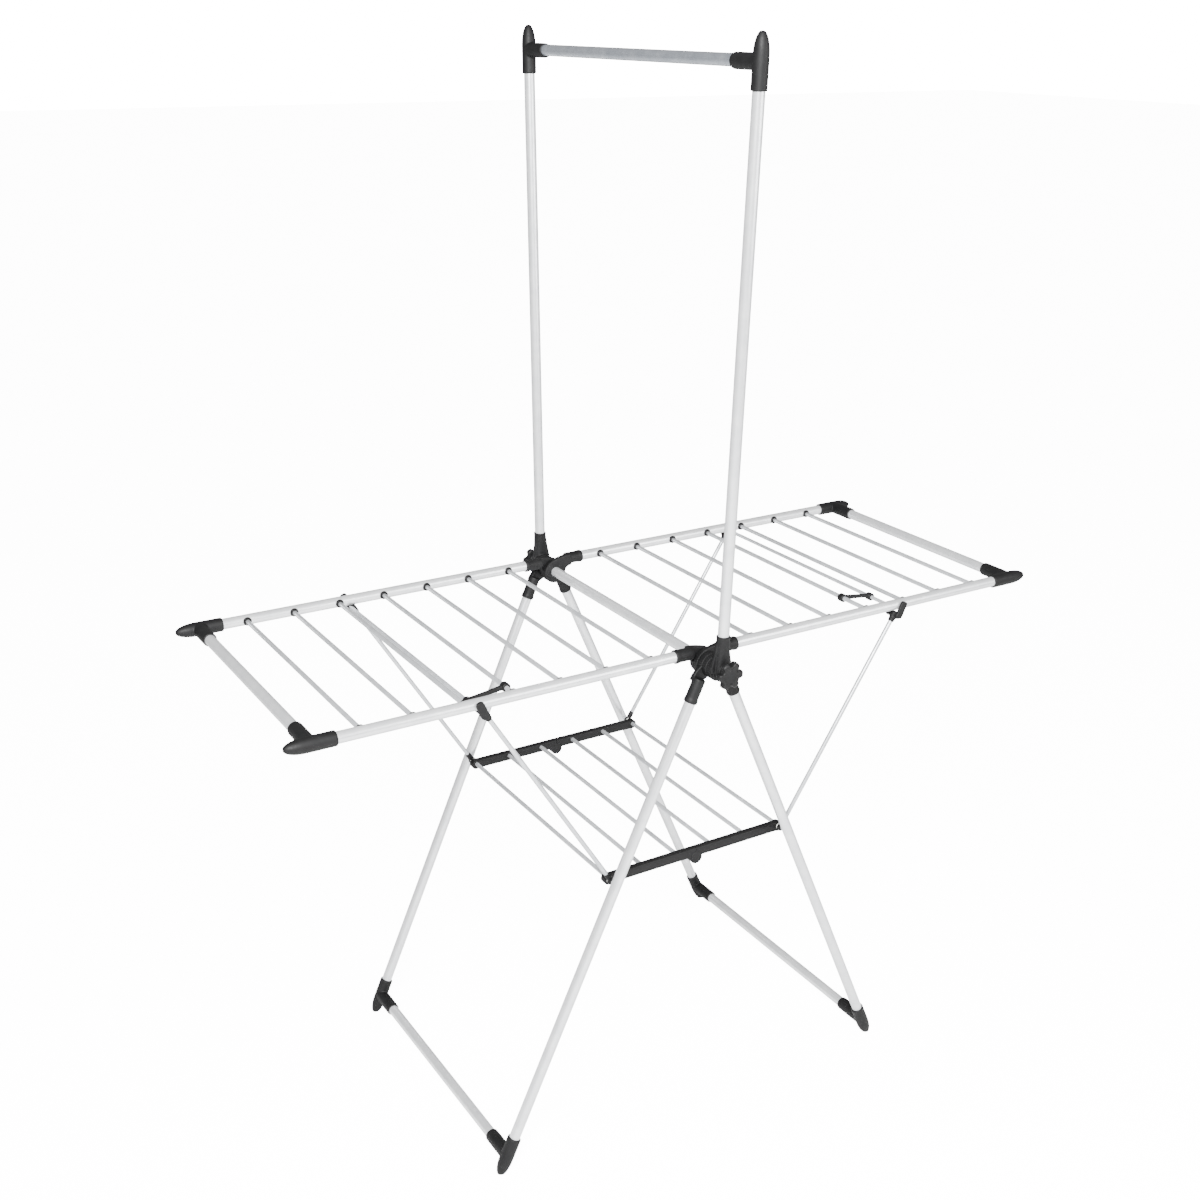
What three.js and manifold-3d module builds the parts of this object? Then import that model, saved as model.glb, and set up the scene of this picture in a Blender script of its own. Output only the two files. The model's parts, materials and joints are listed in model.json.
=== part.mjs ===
// Folding clothes drying rack: two wings of rods, two leg frames, a folding shelf between the legs,
// two swinging stays that hold the wings level, and a tall hanging rail on the hubs.
// Millimetres, +Z up. X runs along the wings, Y along the rods, Z = 0 is the floor.
import * as THREE from "three";
import { mergeVertices } from "three/addons/utils/BufferGeometryUtils.js";
import Module from "manifold-3d";

const wasm = await Module();
wasm.setup();

// ---------------------------------------------------------------- driving dimensions
const GAP = 0.3;                 // clearance between touching pieces
const TUBE_RADIUS = 9.5;
const TUBE_WALL = 1;
const SOCKET_WALL = 1.6;         // moulded sockets of the hub
const CAP_WALL = 2.4;            // moulded corner caps
const HUB_HEIGHT = 874;          // common pivot axis of wings, legs and mast
const HUB_BOLT_RADIUS = 3.7;
const BOLT_ENGAGEMENT = 15;      // length of bolt inside the crossbar

const WING_REACH = 734;          // pivot axis to the tip of a wing's corner cap
const WING_HALF_WIDTH = 254.7;   // centre line of a wing rail
const WING_RISE = 19;            // rails run this far above the pivot axis
const WING_SOCKET_START = 27;    // from the pivot axis, along the rail
const WING_SOCKET_STOP = 34;     // where the rail's end seats
const WING_SOCKET_END = 62;
const WING_ROD_COUNT = 7;
const WING_ROD_FIRST = 101.5;
const WING_ROD_PITCH = 85;
const WING_ROD_RADIUS = 4;
const ROD_ENTRY = 4;             // a rod's end reaches this far into a rail

const LEG_SPREAD = THREE.MathUtils.degToRad(23.85);  // each leg from the vertical
const LEG_OFFSET = 17;           // leg axis runs this far outside the pivot axis
const LEG_SIDE_CLEARANCE = 2.1;  // between the wing's and the leg's sockets
const LEFT_FOOT_INSET = 11.2;    // the left frame nests inside the right one
const RIGHT_FOOT_OUTSET = 5.6;
const LEG_SOCKET_START = 27;
const LEG_SOCKET_STOP = 35;
const LEG_SOCKET_END = 70;
const FOOT_RAIL_HEIGHT = 33;

const SHELF_HEIGHT = 509;        // the shelf's rods
const SHELF_BAR_HEIGHT = 18.5;
const SHELF_BAR_DROP = 2.2;      // bars' middle below the rods
const SHELF_BAR_THICKNESS = 13.5;
const SHELF_KNUCKLE_PROUD = 1.2; // hinge knuckles stand this far out of the bars' faces
const SHELF_KNUCKLE_WIDTH = 15;  // both leaves of a hinge together
const SHELF_ROD_RADIUS = 4;
const SHELF_RODS_PER_HALF = 3;
const SHELF_HINGE_DROP = 12;     // centre hinge below the rods
const SHELF_KNUCKLE_RADIUS = 12;
const SHELF_PIN_RADIUS = 3;

const STAY_REACH = 422;          // cross wire of a stay, from the pivot axis
const STAY_ROD_RADIUS = 4;
const STAY_SIDE_OFFSET = 3.3;    // strut outside the rail's centre line
const STAY_WIRE_RADIUS = 3.5;
const STAY_WIRE_DROP = 10;       // cross wire below the rail's centre line
const STAY_EYE_RADIUS = 7;
const STAY_PIN_RADIUS = 3;
const STAY_SLEEVE_RADIUS = 5.2;
const STAY_SLEEVE_LENGTH = 18.5;
const STAY_HEAD_RADIUS = 7;      // rounded plate on the rail's outer side
const STAY_HEAD_THICKNESS = 6;
const STAY_HEAD_TOP = [2.5, 12];      // its ends, from the cross wire: outwards, upwards
const STAY_HEAD_BOTTOM = [-4, -2];
const STAY_BRIDGE_RADIUS = 6;
const STAY_BRIDGE_PLACE = [-8, -7];   // bridge under the rail, from the cross wire
const STAY_CHEEK_RADIUS = 5;     // rounded plate on the rail's inner side
const STAY_CHEEK_THICKNESS = 6;

const LINK_REACH = 20;           // least distance from the link's rod to the cross wire
const LEFT_LINK_INSET = 35.7;    // from a wing rail's centre line
const RIGHT_LINK_INSET = 74.7;
const LINK_THICKNESS = 12;
const LINK_EYE_RADIUS = 7.5;
const LINK_JAW_RADIUS = 7;

const MAST_LEAN = THREE.MathUtils.degToRad(2.02);    // mast tubes splay outwards
const MAST_SIDE_CLEARANCE = 0.2; // between the leg's and the mast's sockets
const MAST_SOCKET_STOP = 24;
const MAST_SOCKET_RISE = 63;
const MAST_RAIL_RISE = 944;
const MAST_SEAT_RADIUS = 13;     // boss that the knob clamps

const CAP_SLEEVE = 60;           // side sleeve of a corner cap, from the main axis
const CAP_SKIRT = 40;            // open mouth to the side sleeve's axis
const CAP_NOSE = 40.5;           // side sleeve's axis to the tip
const FOOT_SKIRT = 34;
const FOOT_NOSE = 40;
const CAP_STRAIGHT = 7;          // straight part beyond the side sleeve's axis
const NOSE_FULLNESS = 0.97;      // share of a full ellipse that the nose takes
const CAP_TUBE_STOP = 11;        // the main tube ends this far short of the corner
const SIDE_TUBE_STOP = 18.5;     // the side tube ends this far from the corner

const KNOB_RADIUS = 24.5;
const KNOB_LOBES = 6;
const KNOB_LOBE_DEPTH = 3.4;
const KNOB_THICKNESS = 18;
const KNOB_NECK_RADIUS = 12;
const KNOB_NECK = 5;

const DISC_RADIUS = 23;
const LEG_DISC_RADIUS = 21;
const WING_DISC_THICKNESS = 10.3;
const LEG_DISC_THICKNESS = 10.9;

// ---------------------------------------------------------------- derived places
const SOCKET_RADIUS = TUBE_RADIUS + GAP + SOCKET_WALL;
const CAP_RADIUS = TUBE_RADIUS + GAP + CAP_WALL;
const BORE_RADIUS = TUBE_RADIUS + GAP;

// Stack of discs along a hub, as distances from the middle plane.
const WING_LAYER_INNER = WING_HALF_WIDTH - SOCKET_RADIUS;
const WING_LAYER_OUTER = WING_LAYER_INNER + WING_DISC_THICKNESS + GAP;
const LEG_LAYER_INNER = WING_LAYER_OUTER + WING_DISC_THICKNESS + GAP;
const LEG_LAYER_OUTER = LEG_LAYER_INNER + LEG_DISC_THICKNESS + GAP;
const MAST_LAYER = LEG_LAYER_OUTER + LEG_DISC_THICKNESS + GAP;
const CROSSBAR_HALF_LENGTH = WING_LAYER_INNER - GAP;
const LEG_TOP_Y = WING_HALF_WIDTH + 2 * SOCKET_RADIUS + LEG_SIDE_CLEARANCE;
const LEFT_FOOT_Y = LEG_TOP_Y - LEFT_FOOT_INSET;
const RIGHT_FOOT_Y = LEG_TOP_Y + RIGHT_FOOT_OUTSET;
const MAST_SOCKET_Y = LEG_TOP_Y + 2 * SOCKET_RADIUS + MAST_SIDE_CLEARANCE;
const MAST_LAYER_END = MAST_SOCKET_Y + SOCKET_RADIUS + 0.6;
const LEG_ARM_INNER = WING_HALF_WIDTH + SOCKET_RADIUS + GAP;   // leg arms pass outside the wing sockets

const WING_HEIGHT = HUB_HEIGHT + WING_RISE;
const LEG_REACH = (HUB_HEIGHT + LEG_OFFSET * Math.sin(LEG_SPREAD)) / Math.cos(LEG_SPREAD);
const LINK_ROD = Math.floor((STAY_REACH - LINK_REACH - WING_ROD_FIRST) / WING_ROD_PITCH);
const LEFT_LINK_Y = WING_HALF_WIDTH - LEFT_LINK_INSET;
const RIGHT_LINK_Y = WING_HALF_WIDTH - RIGHT_LINK_INSET;
const STRUT_Y = WING_HALF_WIDTH + STAY_SIDE_OFFSET;
const STAY_EYE_HALF = STAY_ROD_RADIUS + 0.2;
const SHELF_OUTER_Y = STRUT_Y - STAY_EYE_HALF - GAP;           // outer face of the hinge knuckles

const PLASTIC = { color: 0x3a3a3c, roughness: 0.62, metalness: 0 };
const KNOB_PLASTIC = { color: 0x343436, roughness: 0.55, metalness: 0 };
const TUBE_FINISH = { color: 0xc9ccd0, roughness: 0.38, metalness: 0.7 };
const ROD_FINISH = { color: 0xbfc1c4, roughness: 0.42, metalness: 0.6 };

const rack = new THREE.Group();

// ---------------------------------------------------------------- solids
function toSolid(geometry) {
  const bare = geometry.clone();
  bare.deleteAttribute("normal");
  bare.deleteAttribute("uv");
  const merged = mergeVertices(bare, 1e-4);
  const index = merged.index.array;
  const kept = [];
  for (let i = 0; i < index.length; i += 3) {
    const [a, b, c] = [index[i], index[i + 1], index[i + 2]];
    if (a !== b && b !== c && c !== a) kept.push(a, b, c);
  }
  if (signedVolume(merged.attributes.position.array, kept) < 0) kept.reverse();
  return new wasm.Manifold(new wasm.Mesh({
    numProp: 3,
    vertProperties: new Float32Array(merged.attributes.position.array),
    triVerts: new Uint32Array(kept),
  }));
}

function signedVolume(position, triangles) {
  let sum = 0;
  const corner = (i) => new THREE.Vector3().fromArray(position, 3 * i);
  for (let i = 0; i < triangles.length; i += 3) {
    const [a, b, c] = [corner(triangles[i]), corner(triangles[i + 1]), corner(triangles[i + 2])];
    sum += a.dot(b.cross(c));
  }
  return sum;
}

function addPiece(group, name, solid, finish) {
  const mesh = solid.getMesh();
  const geometry = new THREE.BufferGeometry();
  geometry.setAttribute("position", new THREE.BufferAttribute(new Float32Array(mesh.vertProperties), 3));
  geometry.setIndex(new THREE.BufferAttribute(new Uint32Array(mesh.triVerts), 1));
  geometry.computeVertexNormals();
  const piece = new THREE.Mesh(geometry, new THREE.MeshStandardMaterial(finish));
  piece.name = name;
  group.add(piece);
  return piece;
}

const unite = (solids) => solids.reduce((whole, solid) => whole.add(solid));
const cut = (solid, tools) => tools.reduce((rest, tool) => rest.subtract(tool), solid);

// Revolves a profile of [radius, distance] points about the line from `from` towards `to`.
function revolve(profile, from, to, sides = 16) {
  const geometry = new THREE.LatheGeometry(profile.map(([r, d]) => new THREE.Vector2(r, d)), sides);
  const direction = to.clone().sub(from).normalize();
  const turn = new THREE.Quaternion().setFromUnitVectors(new THREE.Vector3(0, 1, 0), direction);
  geometry.applyQuaternion(turn);
  geometry.translate(from.x, from.y, from.z);
  return toSolid(geometry);
}

function rod(from, to, radius, sides = 12) {
  const length = from.distanceTo(to);
  return revolve([[0, 0], [radius, 0], [radius, length], [0, length]], from, to, sides);
}

function pipe(from, to, outer, inner, sides = 16) {
  const length = from.distanceTo(to);
  return revolve([[inner, 0], [outer, 0], [outer, length], [inner, length], [inner, 0]], from, to, sides);
}

// Extrudes an outline of [x, z] points from y = low to y = high.
function plate(outline, low, high) {
  const shape = new THREE.Shape(outline.map(([x, z]) => new THREE.Vector2(x, z)));
  const geometry = new THREE.ExtrudeGeometry(shape, { depth: high - low, bevelEnabled: false });
  geometry.rotateX(Math.PI / 2);
  geometry.translate(0, high, 0);
  return toSolid(geometry);
}

const at = (x, y, z) => new THREE.Vector3(x, y, z);
const alongY = (x, z, low, high, radius, sides) => rod(at(x, low, z), at(x, high, z), radius, sides);

// A layer between two distances from the middle plane, on the side that `end` names (+1 or -1).
function layer(end, near, far) {
  return end > 0 ? [near, far] : [-far, -near];
}

// ---------------------------------------------------------------- shared pieces
// Bullet-nosed corner cap: a tube enters from the mouth, a second one through the side sleeve.
function cornerCap(corner, nose, side, skirt, noseLength) {
  const mouth = corner.clone().addScaledVector(nose, -skirt);
  const straight = skirt + CAP_STRAIGHT;
  const tip = skirt + noseLength;
  const profile = [[0, 0], [CAP_RADIUS, 0]];
  const steps = 6;
  for (let i = 0; i <= steps; i += 1) {
    const part = i / steps;
    const radius = CAP_RADIUS * Math.sqrt(1 - (part * NOSE_FULLNESS) ** 2);
    profile.push([radius, straight + (tip - straight) * part]);
  }
  profile.push([0, tip]);
  const body = revolve(profile, mouth, corner);
  const sleeveEnd = corner.clone().addScaledVector(side, CAP_SLEEVE);
  const sleeve = rod(corner, sleeveEnd, CAP_RADIUS, 16);
  const mainStop = corner.clone().addScaledVector(nose, GAP - CAP_TUBE_STOP);
  const sideStop = corner.clone().addScaledVector(side, SIDE_TUBE_STOP - GAP);
  return cut(body.add(sleeve), [
    rod(mouth.clone().addScaledVector(nose, -1), mainStop, BORE_RADIUS, 16),
    rod(sideStop, sleeveEnd.clone().addScaledVector(side, 1), BORE_RADIUS, 16),
  ]);
}

// ---------------------------------------------------------------- wings
function wingKnuckle(end, near, far) {
  const [low, high] = layer(end, near, far);
  const [start, stop] = [WING_SOCKET_START, WING_SOCKET_STOP];
  const top = WING_HEIGHT + SOCKET_RADIUS;
  const bottom = WING_HEIGHT - SOCKET_RADIUS;
  const disc = alongY(0, HUB_HEIGHT, low, high, DISC_RADIUS, 24);
  const outline = [[-6, HUB_HEIGHT + 0.92 * DISC_RADIUS], [8, top - 3], [start, top - 1], [stop + 1, top - 1],
    [stop + 1, bottom + 1], [start + 3, bottom], [17, HUB_HEIGHT - 0.6 * DISC_RADIUS], [0, HUB_HEIGHT]];
  const arm = plate(outline, low, high);
  const y = end * WING_HALF_WIDTH;
  const socket = rod(at(start, y, WING_HEIGHT), at(WING_SOCKET_END, y, WING_HEIGHT), SOCKET_RADIUS, 16);
  const bore = rod(at(stop - GAP, y, WING_HEIGHT), at(WING_SOCKET_END + 1, y, WING_HEIGHT), BORE_RADIUS, 16);
  const boltHole = alongY(0, HUB_HEIGHT, low - 1, high + 1, HUB_BOLT_RADIUS + GAP, 12);
  return cut(unite([disc, arm, socket]), [bore, boltHole]);
}

function wingRail(end) {
  const y = end * WING_HALF_WIDTH;
  const stop = WING_REACH - CAP_NOSE - CAP_TUBE_STOP;
  const tube = pipe(at(WING_SOCKET_STOP, y, WING_HEIGHT), at(stop, y, WING_HEIGHT), TUBE_RADIUS,
    TUBE_RADIUS - TUBE_WALL);
  const holes = [];
  for (let i = 0; i < WING_ROD_COUNT; i += 1) {
    const x = WING_ROD_FIRST + i * WING_ROD_PITCH;
    const inside = end * (WING_HALF_WIDTH - TUBE_RADIUS - 2);
    holes.push(rod(at(x, inside, WING_HEIGHT), at(x, y, WING_HEIGHT), WING_ROD_RADIUS + GAP, 10));
  }
  return cut(tube, holes);
}

// A wing is built pointing along +X; the left one is the same wing turned half a turn.
function buildWing(side, linkY) {
  const wing = new THREE.Group();
  const far = side === "right" ? 1 : -1;
  const endName = (end) => (end === far ? "far" : "near");
  const cornerX = WING_REACH - CAP_NOSE;
  for (const end of [1, -1]) {
    const layerStart = end > 0 ? WING_LAYER_INNER : WING_LAYER_OUTER;
    const knuckle = wingKnuckle(end, layerStart, layerStart + WING_DISC_THICKNESS);
    addPiece(wing, `${side}_wing_knuckle_${endName(end)}`, knuckle, PLASTIC);
    addPiece(wing, `${side}_wing_rail_${endName(end)}`, wingRail(end), TUBE_FINISH);
    const corner = at(cornerX, end * WING_HALF_WIDTH, WING_HEIGHT);
    const cap = cornerCap(corner, at(1, 0, 0), at(0, -end, 0), CAP_SKIRT, CAP_NOSE);
    addPiece(wing, `${side}_wing_corner_cap_${endName(end)}`, cap, PLASTIC);
  }
  const endTubeHalf = WING_HALF_WIDTH - SIDE_TUBE_STOP;
  const endTube = pipe(at(cornerX, -endTubeHalf, WING_HEIGHT), at(cornerX, endTubeHalf, WING_HEIGHT),
    TUBE_RADIUS, TUBE_RADIUS - TUBE_WALL);
  addPiece(wing, `${side}_wing_end_tube`, endTube, TUBE_FINISH);
  const rodHalf = WING_HALF_WIDTH - TUBE_RADIUS + TUBE_WALL + ROD_ENTRY;
  for (let i = 0; i < WING_ROD_COUNT; i += 1) {
    const x = WING_ROD_FIRST + i * WING_ROD_PITCH;
    const wingRod = alongY(x, WING_HEIGHT, -rodHalf, rodHalf, WING_ROD_RADIUS, 10);
    addPiece(wing, `${side}_wing_rod_${i + 1}`, wingRod, ROD_FINISH);
  }
  addPiece(wing, `${side}_stay_link`, stayLink(linkY), PLASTIC);
  return wing;
}

// Clip link: an eye that turns on a wing rod and an open jaw that snaps over the stay's cross wire.
function stayLink(y) {
  const low = y - LINK_THICKNESS / 2;
  const high = y + LINK_THICKNESS / 2;
  const eye = at(WING_ROD_FIRST + LINK_ROD * WING_ROD_PITCH, 0, WING_HEIGHT);
  const jaw = at(STAY_REACH, 0, WING_HEIGHT - STAY_WIRE_DROP);
  const along = jaw.clone().sub(eye).normalize();
  const up = at(-along.z, 0, along.x);
  const corner = (origin, a, b) => {
    const p = origin.clone().addScaledVector(along, a).addScaledVector(up, b);
    return [p.x, p.z];
  };
  const strap = plate([corner(eye, 0, -4), corner(jaw, 0, -1), corner(jaw, 0, 6), corner(eye, 0, 5)],
    low + 2, high - 2);
  const jawRadius = STAY_WIRE_RADIUS + GAP;
  const reach = -2 * LINK_JAW_RADIUS;
  const slot = plate([corner(jaw, -jawRadius, 0), corner(jaw, jawRadius, 0), corner(jaw, jawRadius, reach),
    corner(jaw, -jawRadius, reach)], low - 1, high + 1);
  const ends = [alongY(eye.x, eye.z, low, high, LINK_EYE_RADIUS, 16),
    alongY(jaw.x, jaw.z, low, high, LINK_JAW_RADIUS, 16)];
  return cut(unite([strap, ...ends]), [
    alongY(eye.x, eye.z, low - 1, high + 1, WING_ROD_RADIUS + GAP, 12),
    alongY(jaw.x, jaw.z, low - 1, high + 1, jawRadius, 12),
    slot,
  ]);
}

// ---------------------------------------------------------------- leg frames
// Point at distance t down a leg from the hub, n outwards from the pivot axis.
function legPoint(t, n, y) {
  const [s, c] = [Math.sin(LEG_SPREAD), Math.cos(LEG_SPREAD)];
  return at(n * c + t * s, y, HUB_HEIGHT + n * s - t * c);
}
const legY = (t, footY) => LEG_TOP_Y + ((footY - LEG_TOP_Y) * t) / LEG_REACH;
const legAxis = (t, end, footY) => legPoint(t, LEG_OFFSET, end * legY(t, footY));
const heightToT = (z) => (HUB_HEIGHT + LEG_OFFSET * Math.sin(LEG_SPREAD) - z) / Math.cos(LEG_SPREAD);
const SHELF_T = heightToT(SHELF_HEIGHT);
const SHELF_PIVOT = legPoint(SHELF_T, LEG_OFFSET, 0);
const FOOT_T = heightToT(FOOT_RAIL_HEIGHT);

function legKnuckle(end, near, far, footY) {
  const [low, high] = layer(end, near, far);
  const disc = alongY(0, HUB_HEIGHT, low, high, LEG_DISC_RADIUS, 24);
  const corner = (t, n) => {
    const p = legPoint(t, n, 0);
    return [p.x, p.z];
  };
  const [inner, outer] = [LEG_OFFSET - SOCKET_RADIUS, LEG_OFFSET + SOCKET_RADIUS];
  const [start, stop] = [LEG_SOCKET_START, LEG_SOCKET_STOP];
  const [armLow, armHigh] = layer(end, Math.max(near, LEG_ARM_INNER), far);
  const arm = plate([corner(4, 0.93 * LEG_DISC_RADIUS), corner(start, outer - 1), corner(stop + 1, outer - 1),
    corner(stop + 1, inner + 1), corner(start - 1, inner - 3), corner(0.85 * LEG_DISC_RADIUS, -8),
    corner(0, 0)], armLow, armHigh);
  const socket = rod(legAxis(start, end, footY), legAxis(LEG_SOCKET_END, end, footY), SOCKET_RADIUS, 16);
  const bore = rod(legAxis(stop - GAP, end, footY), legAxis(LEG_SOCKET_END + 1, end, footY), BORE_RADIUS, 16);
  const boltHole = alongY(0, HUB_HEIGHT, low - 1, high + 1, HUB_BOLT_RADIUS + GAP, 12);
  return cut(unite([disc, arm, socket]), [bore, boltHole]);
}

function legTube(end, footY) {
  const tube = pipe(legAxis(LEG_SOCKET_STOP, end, footY), legAxis(FOOT_T - CAP_TUBE_STOP, end, footY),
    TUBE_RADIUS, TUBE_RADIUS - TUBE_WALL);
  const y = legY(SHELF_T, footY);
  const { x, z } = SHELF_PIVOT;
  const hole = rod(at(x, end * (y - 2 * TUBE_RADIUS), z), at(x, end * y, z), STAY_PIN_RADIUS + GAP, 12);
  return tube.subtract(hole);
}

function footCap(end, footY) {
  const corner = legAxis(FOOT_T, end, footY);
  const nose = legAxis(FOOT_T + 1, end, footY).sub(corner);
  const cap = cornerCap(corner, nose.normalize(), at(0, -end, 0), FOOT_SKIRT, FOOT_NOSE);
  const reach = 4 * CAP_RADIUS;
  const below = plate([[corner.x - reach, -reach], [corner.x + reach, -reach], [corner.x + reach, 0],
    [corner.x - reach, 0]], ...layer(end, end * corner.y - CAP_SLEEVE, end * corner.y + reach));
  return cap.subtract(below);
}

function buildLegFrame(side, footY) {
  const frame = new THREE.Group();
  const far = side === "right" ? 1 : -1;
  const endName = (end) => (end === far ? "far" : "near");
  for (const end of [1, -1]) {
    const layerStart = end > 0 ? LEG_LAYER_INNER : LEG_LAYER_OUTER;
    const knuckle = legKnuckle(end, layerStart, layerStart + LEG_DISC_THICKNESS, footY);
    addPiece(frame, `${side}_leg_knuckle_${endName(end)}`, knuckle, PLASTIC);
    addPiece(frame, `${side}_leg_${endName(end)}`, legTube(end, footY), TUBE_FINISH);
    addPiece(frame, `${side}_foot_cap_${endName(end)}`, footCap(end, footY), PLASTIC);
  }
  const half = legY(FOOT_T, footY) - SIDE_TUBE_STOP;
  const corner = legPoint(FOOT_T, LEG_OFFSET, 0);
  const rail = pipe(at(corner.x, -half, corner.z), at(corner.x, half, corner.z),
    TUBE_RADIUS, TUBE_RADIUS - TUBE_WALL);
  addPiece(frame, `${side}_foot_rail`, rail, TUBE_FINISH);
  addPiece(frame, `${side}_stay`, stay(footY), ROD_FINISH);
  return frame;
}

// ---------------------------------------------------------------- stays
// Two struts with eyes and pins in the legs, a bracket round the underside of each wing rail, and the
// cross wire between the brackets.
function stay(footY) {
  const { x, z } = SHELF_PIVOT;
  const wire = at(STAY_REACH, 0, WING_HEIGHT - STAY_WIRE_DROP);
  const fromWire = ([out, up]) => at(wire.x + out, 0, wire.z + up);
  const [headTop, headBottom, bridge] = [STAY_HEAD_TOP, STAY_HEAD_BOTTOM, STAY_BRIDGE_PLACE].map(fromWire);
  const up = headTop.clone().sub(SHELF_PIVOT).normalize();
  const strutAt = (height, y) => SHELF_PIVOT.clone().addScaledVector(up, (height - z) / up.z).setY(y);
  const capsule = (from, to, radius, low, high) => {
    const along = to.clone().sub(from).normalize();
    const side = at(along.z * radius, 0, -along.x * radius);
    const corner = (p, sign) => [p.x + sign * side.x, p.z + sign * side.z];
    return unite([
      plate([corner(from, -1), corner(from, 1), corner(to, 1), corner(to, -1)], low, high),
      alongY(from.x, from.z, low, high, radius, 16),
      alongY(to.x, to.z, low, high, radius, 16),
    ]);
  };
  const sleeveTop = WING_HEIGHT - TUBE_RADIUS - GAP - STAY_SLEEVE_RADIUS * up.x;
  const outside = WING_HALF_WIDTH + TUBE_RADIUS + GAP;
  const inside = WING_HALF_WIDTH - TUBE_RADIUS - GAP;
  const solids = [];
  for (const end of [1, -1]) {
    const strutY = end * STRUT_Y;
    const [eyeLow, eyeHigh] = layer(end, STRUT_Y - STAY_EYE_HALF, STRUT_Y + STAY_EYE_HALF);
    const [pinLow, pinHigh] = layer(end, STRUT_Y, legY(SHELF_T, footY) - 2);
    const [bridgeLow, bridgeHigh] = layer(end, inside - STAY_CHEEK_THICKNESS, outside + STAY_HEAD_THICKNESS);
    solids.push(
      rod(at(x, strutY, z), strutAt(sleeveTop - 1, strutY), STAY_ROD_RADIUS, 12),
      rod(strutAt(sleeveTop - STAY_SLEEVE_LENGTH * up.z, strutY), strutAt(sleeveTop, strutY),
        STAY_SLEEVE_RADIUS, 16),
      alongY(x, z, eyeLow, eyeHigh, STAY_EYE_RADIUS, 16),
      alongY(x, z, pinLow, pinHigh, STAY_PIN_RADIUS, 12),
      alongY(bridge.x, bridge.z, bridgeLow, bridgeHigh, STAY_BRIDGE_RADIUS, 16),
      capsule(headBottom, headTop, STAY_HEAD_RADIUS, ...layer(end, outside, outside + STAY_HEAD_THICKNESS)),
      capsule(bridge, wire, STAY_CHEEK_RADIUS, ...layer(end, inside - STAY_CHEEK_THICKNESS, inside)),
    );
  }
  solids.push(alongY(wire.x, wire.z, 1 - inside, inside - 1, STAY_WIRE_RADIUS, 12));
  return unite(solids);
}

// ---------------------------------------------------------------- shelf
// One half of the shelf, built on the +X side: two bars, three rods and half of each centre knuckle.
// The halves lap at the hinge, so each bar is cut back round the other half's knuckle.
function shelfHalf(isLeft) {
  const pivotX = SHELF_PIVOT.x;
  const hingeZ = SHELF_HEIGHT - SHELF_HINGE_DROP;
  const top = SHELF_HEIGHT - SHELF_BAR_DROP + SHELF_BAR_HEIGHT / 2;
  const bottom = top - SHELF_BAR_HEIGHT;
  const barOuter = SHELF_OUTER_Y - SHELF_KNUCKLE_PROUD;
  const barInner = barOuter - SHELF_BAR_THICKNESS;
  const knuckleInner = SHELF_OUTER_Y - SHELF_KNUCKLE_WIDTH;
  const split = (knuckleInner + SHELF_OUTER_Y) / 2;
  const solids = [];
  const holes = [];
  for (const end of [1, -1]) {
    const [low, high] = layer(end, barInner, barOuter);
    const bar = plate([[GAP / 2, bottom], [pivotX, bottom], [pivotX, top], [GAP / 2, top]], low, high);
    const innerLeaf = layer(end, knuckleInner, split - GAP / 2);
    const outerLeaf = layer(end, split + GAP / 2, SHELF_OUTER_Y);
    const [leaf, other] = isLeft ? [innerLeaf, outerLeaf] : [outerLeaf, innerLeaf];
    const lap = alongY(0, hingeZ, other[0] - GAP, other[1] + GAP, SHELF_KNUCKLE_RADIUS + GAP, 24);
    solids.push(bar.subtract(lap));
    solids.push(alongY(pivotX, (top + bottom) / 2, low, high, SHELF_BAR_HEIGHT / 2, 16));
    solids.push(alongY(0, hingeZ, ...leaf, SHELF_KNUCKLE_RADIUS, 24));
    if (isLeft) {
      const [pinLow, pinHigh] = layer(end, split - 2, SHELF_OUTER_Y - 1);
      solids.push(alongY(0, hingeZ, pinLow, pinHigh, SHELF_PIN_RADIUS, 12));
    } else {
      const [holeLow, holeHigh] = layer(end, split - 1, SHELF_OUTER_Y - 1 + GAP);
      holes.push(alongY(0, hingeZ, holeLow, holeHigh, SHELF_PIN_RADIUS + GAP, 12));
    }
  }
  const pitch = (2 * pivotX) / (2 * SHELF_RODS_PER_HALF - 1);
  const rodHalf = barOuter - 1;
  for (let i = 0; i < SHELF_RODS_PER_HALF; i += 1) {
    solids.push(alongY(pivotX - i * pitch, SHELF_HEIGHT, -rodHalf, rodHalf, SHELF_ROD_RADIUS, 10));
  }
  return cut(unite(solids), holes);
}

// ---------------------------------------------------------------- mast and hubs
function mastAxis(rise, end) {
  return at(0, end * (MAST_SOCKET_Y + rise * Math.tan(MAST_LEAN)), HUB_HEIGHT + rise);
}

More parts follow.
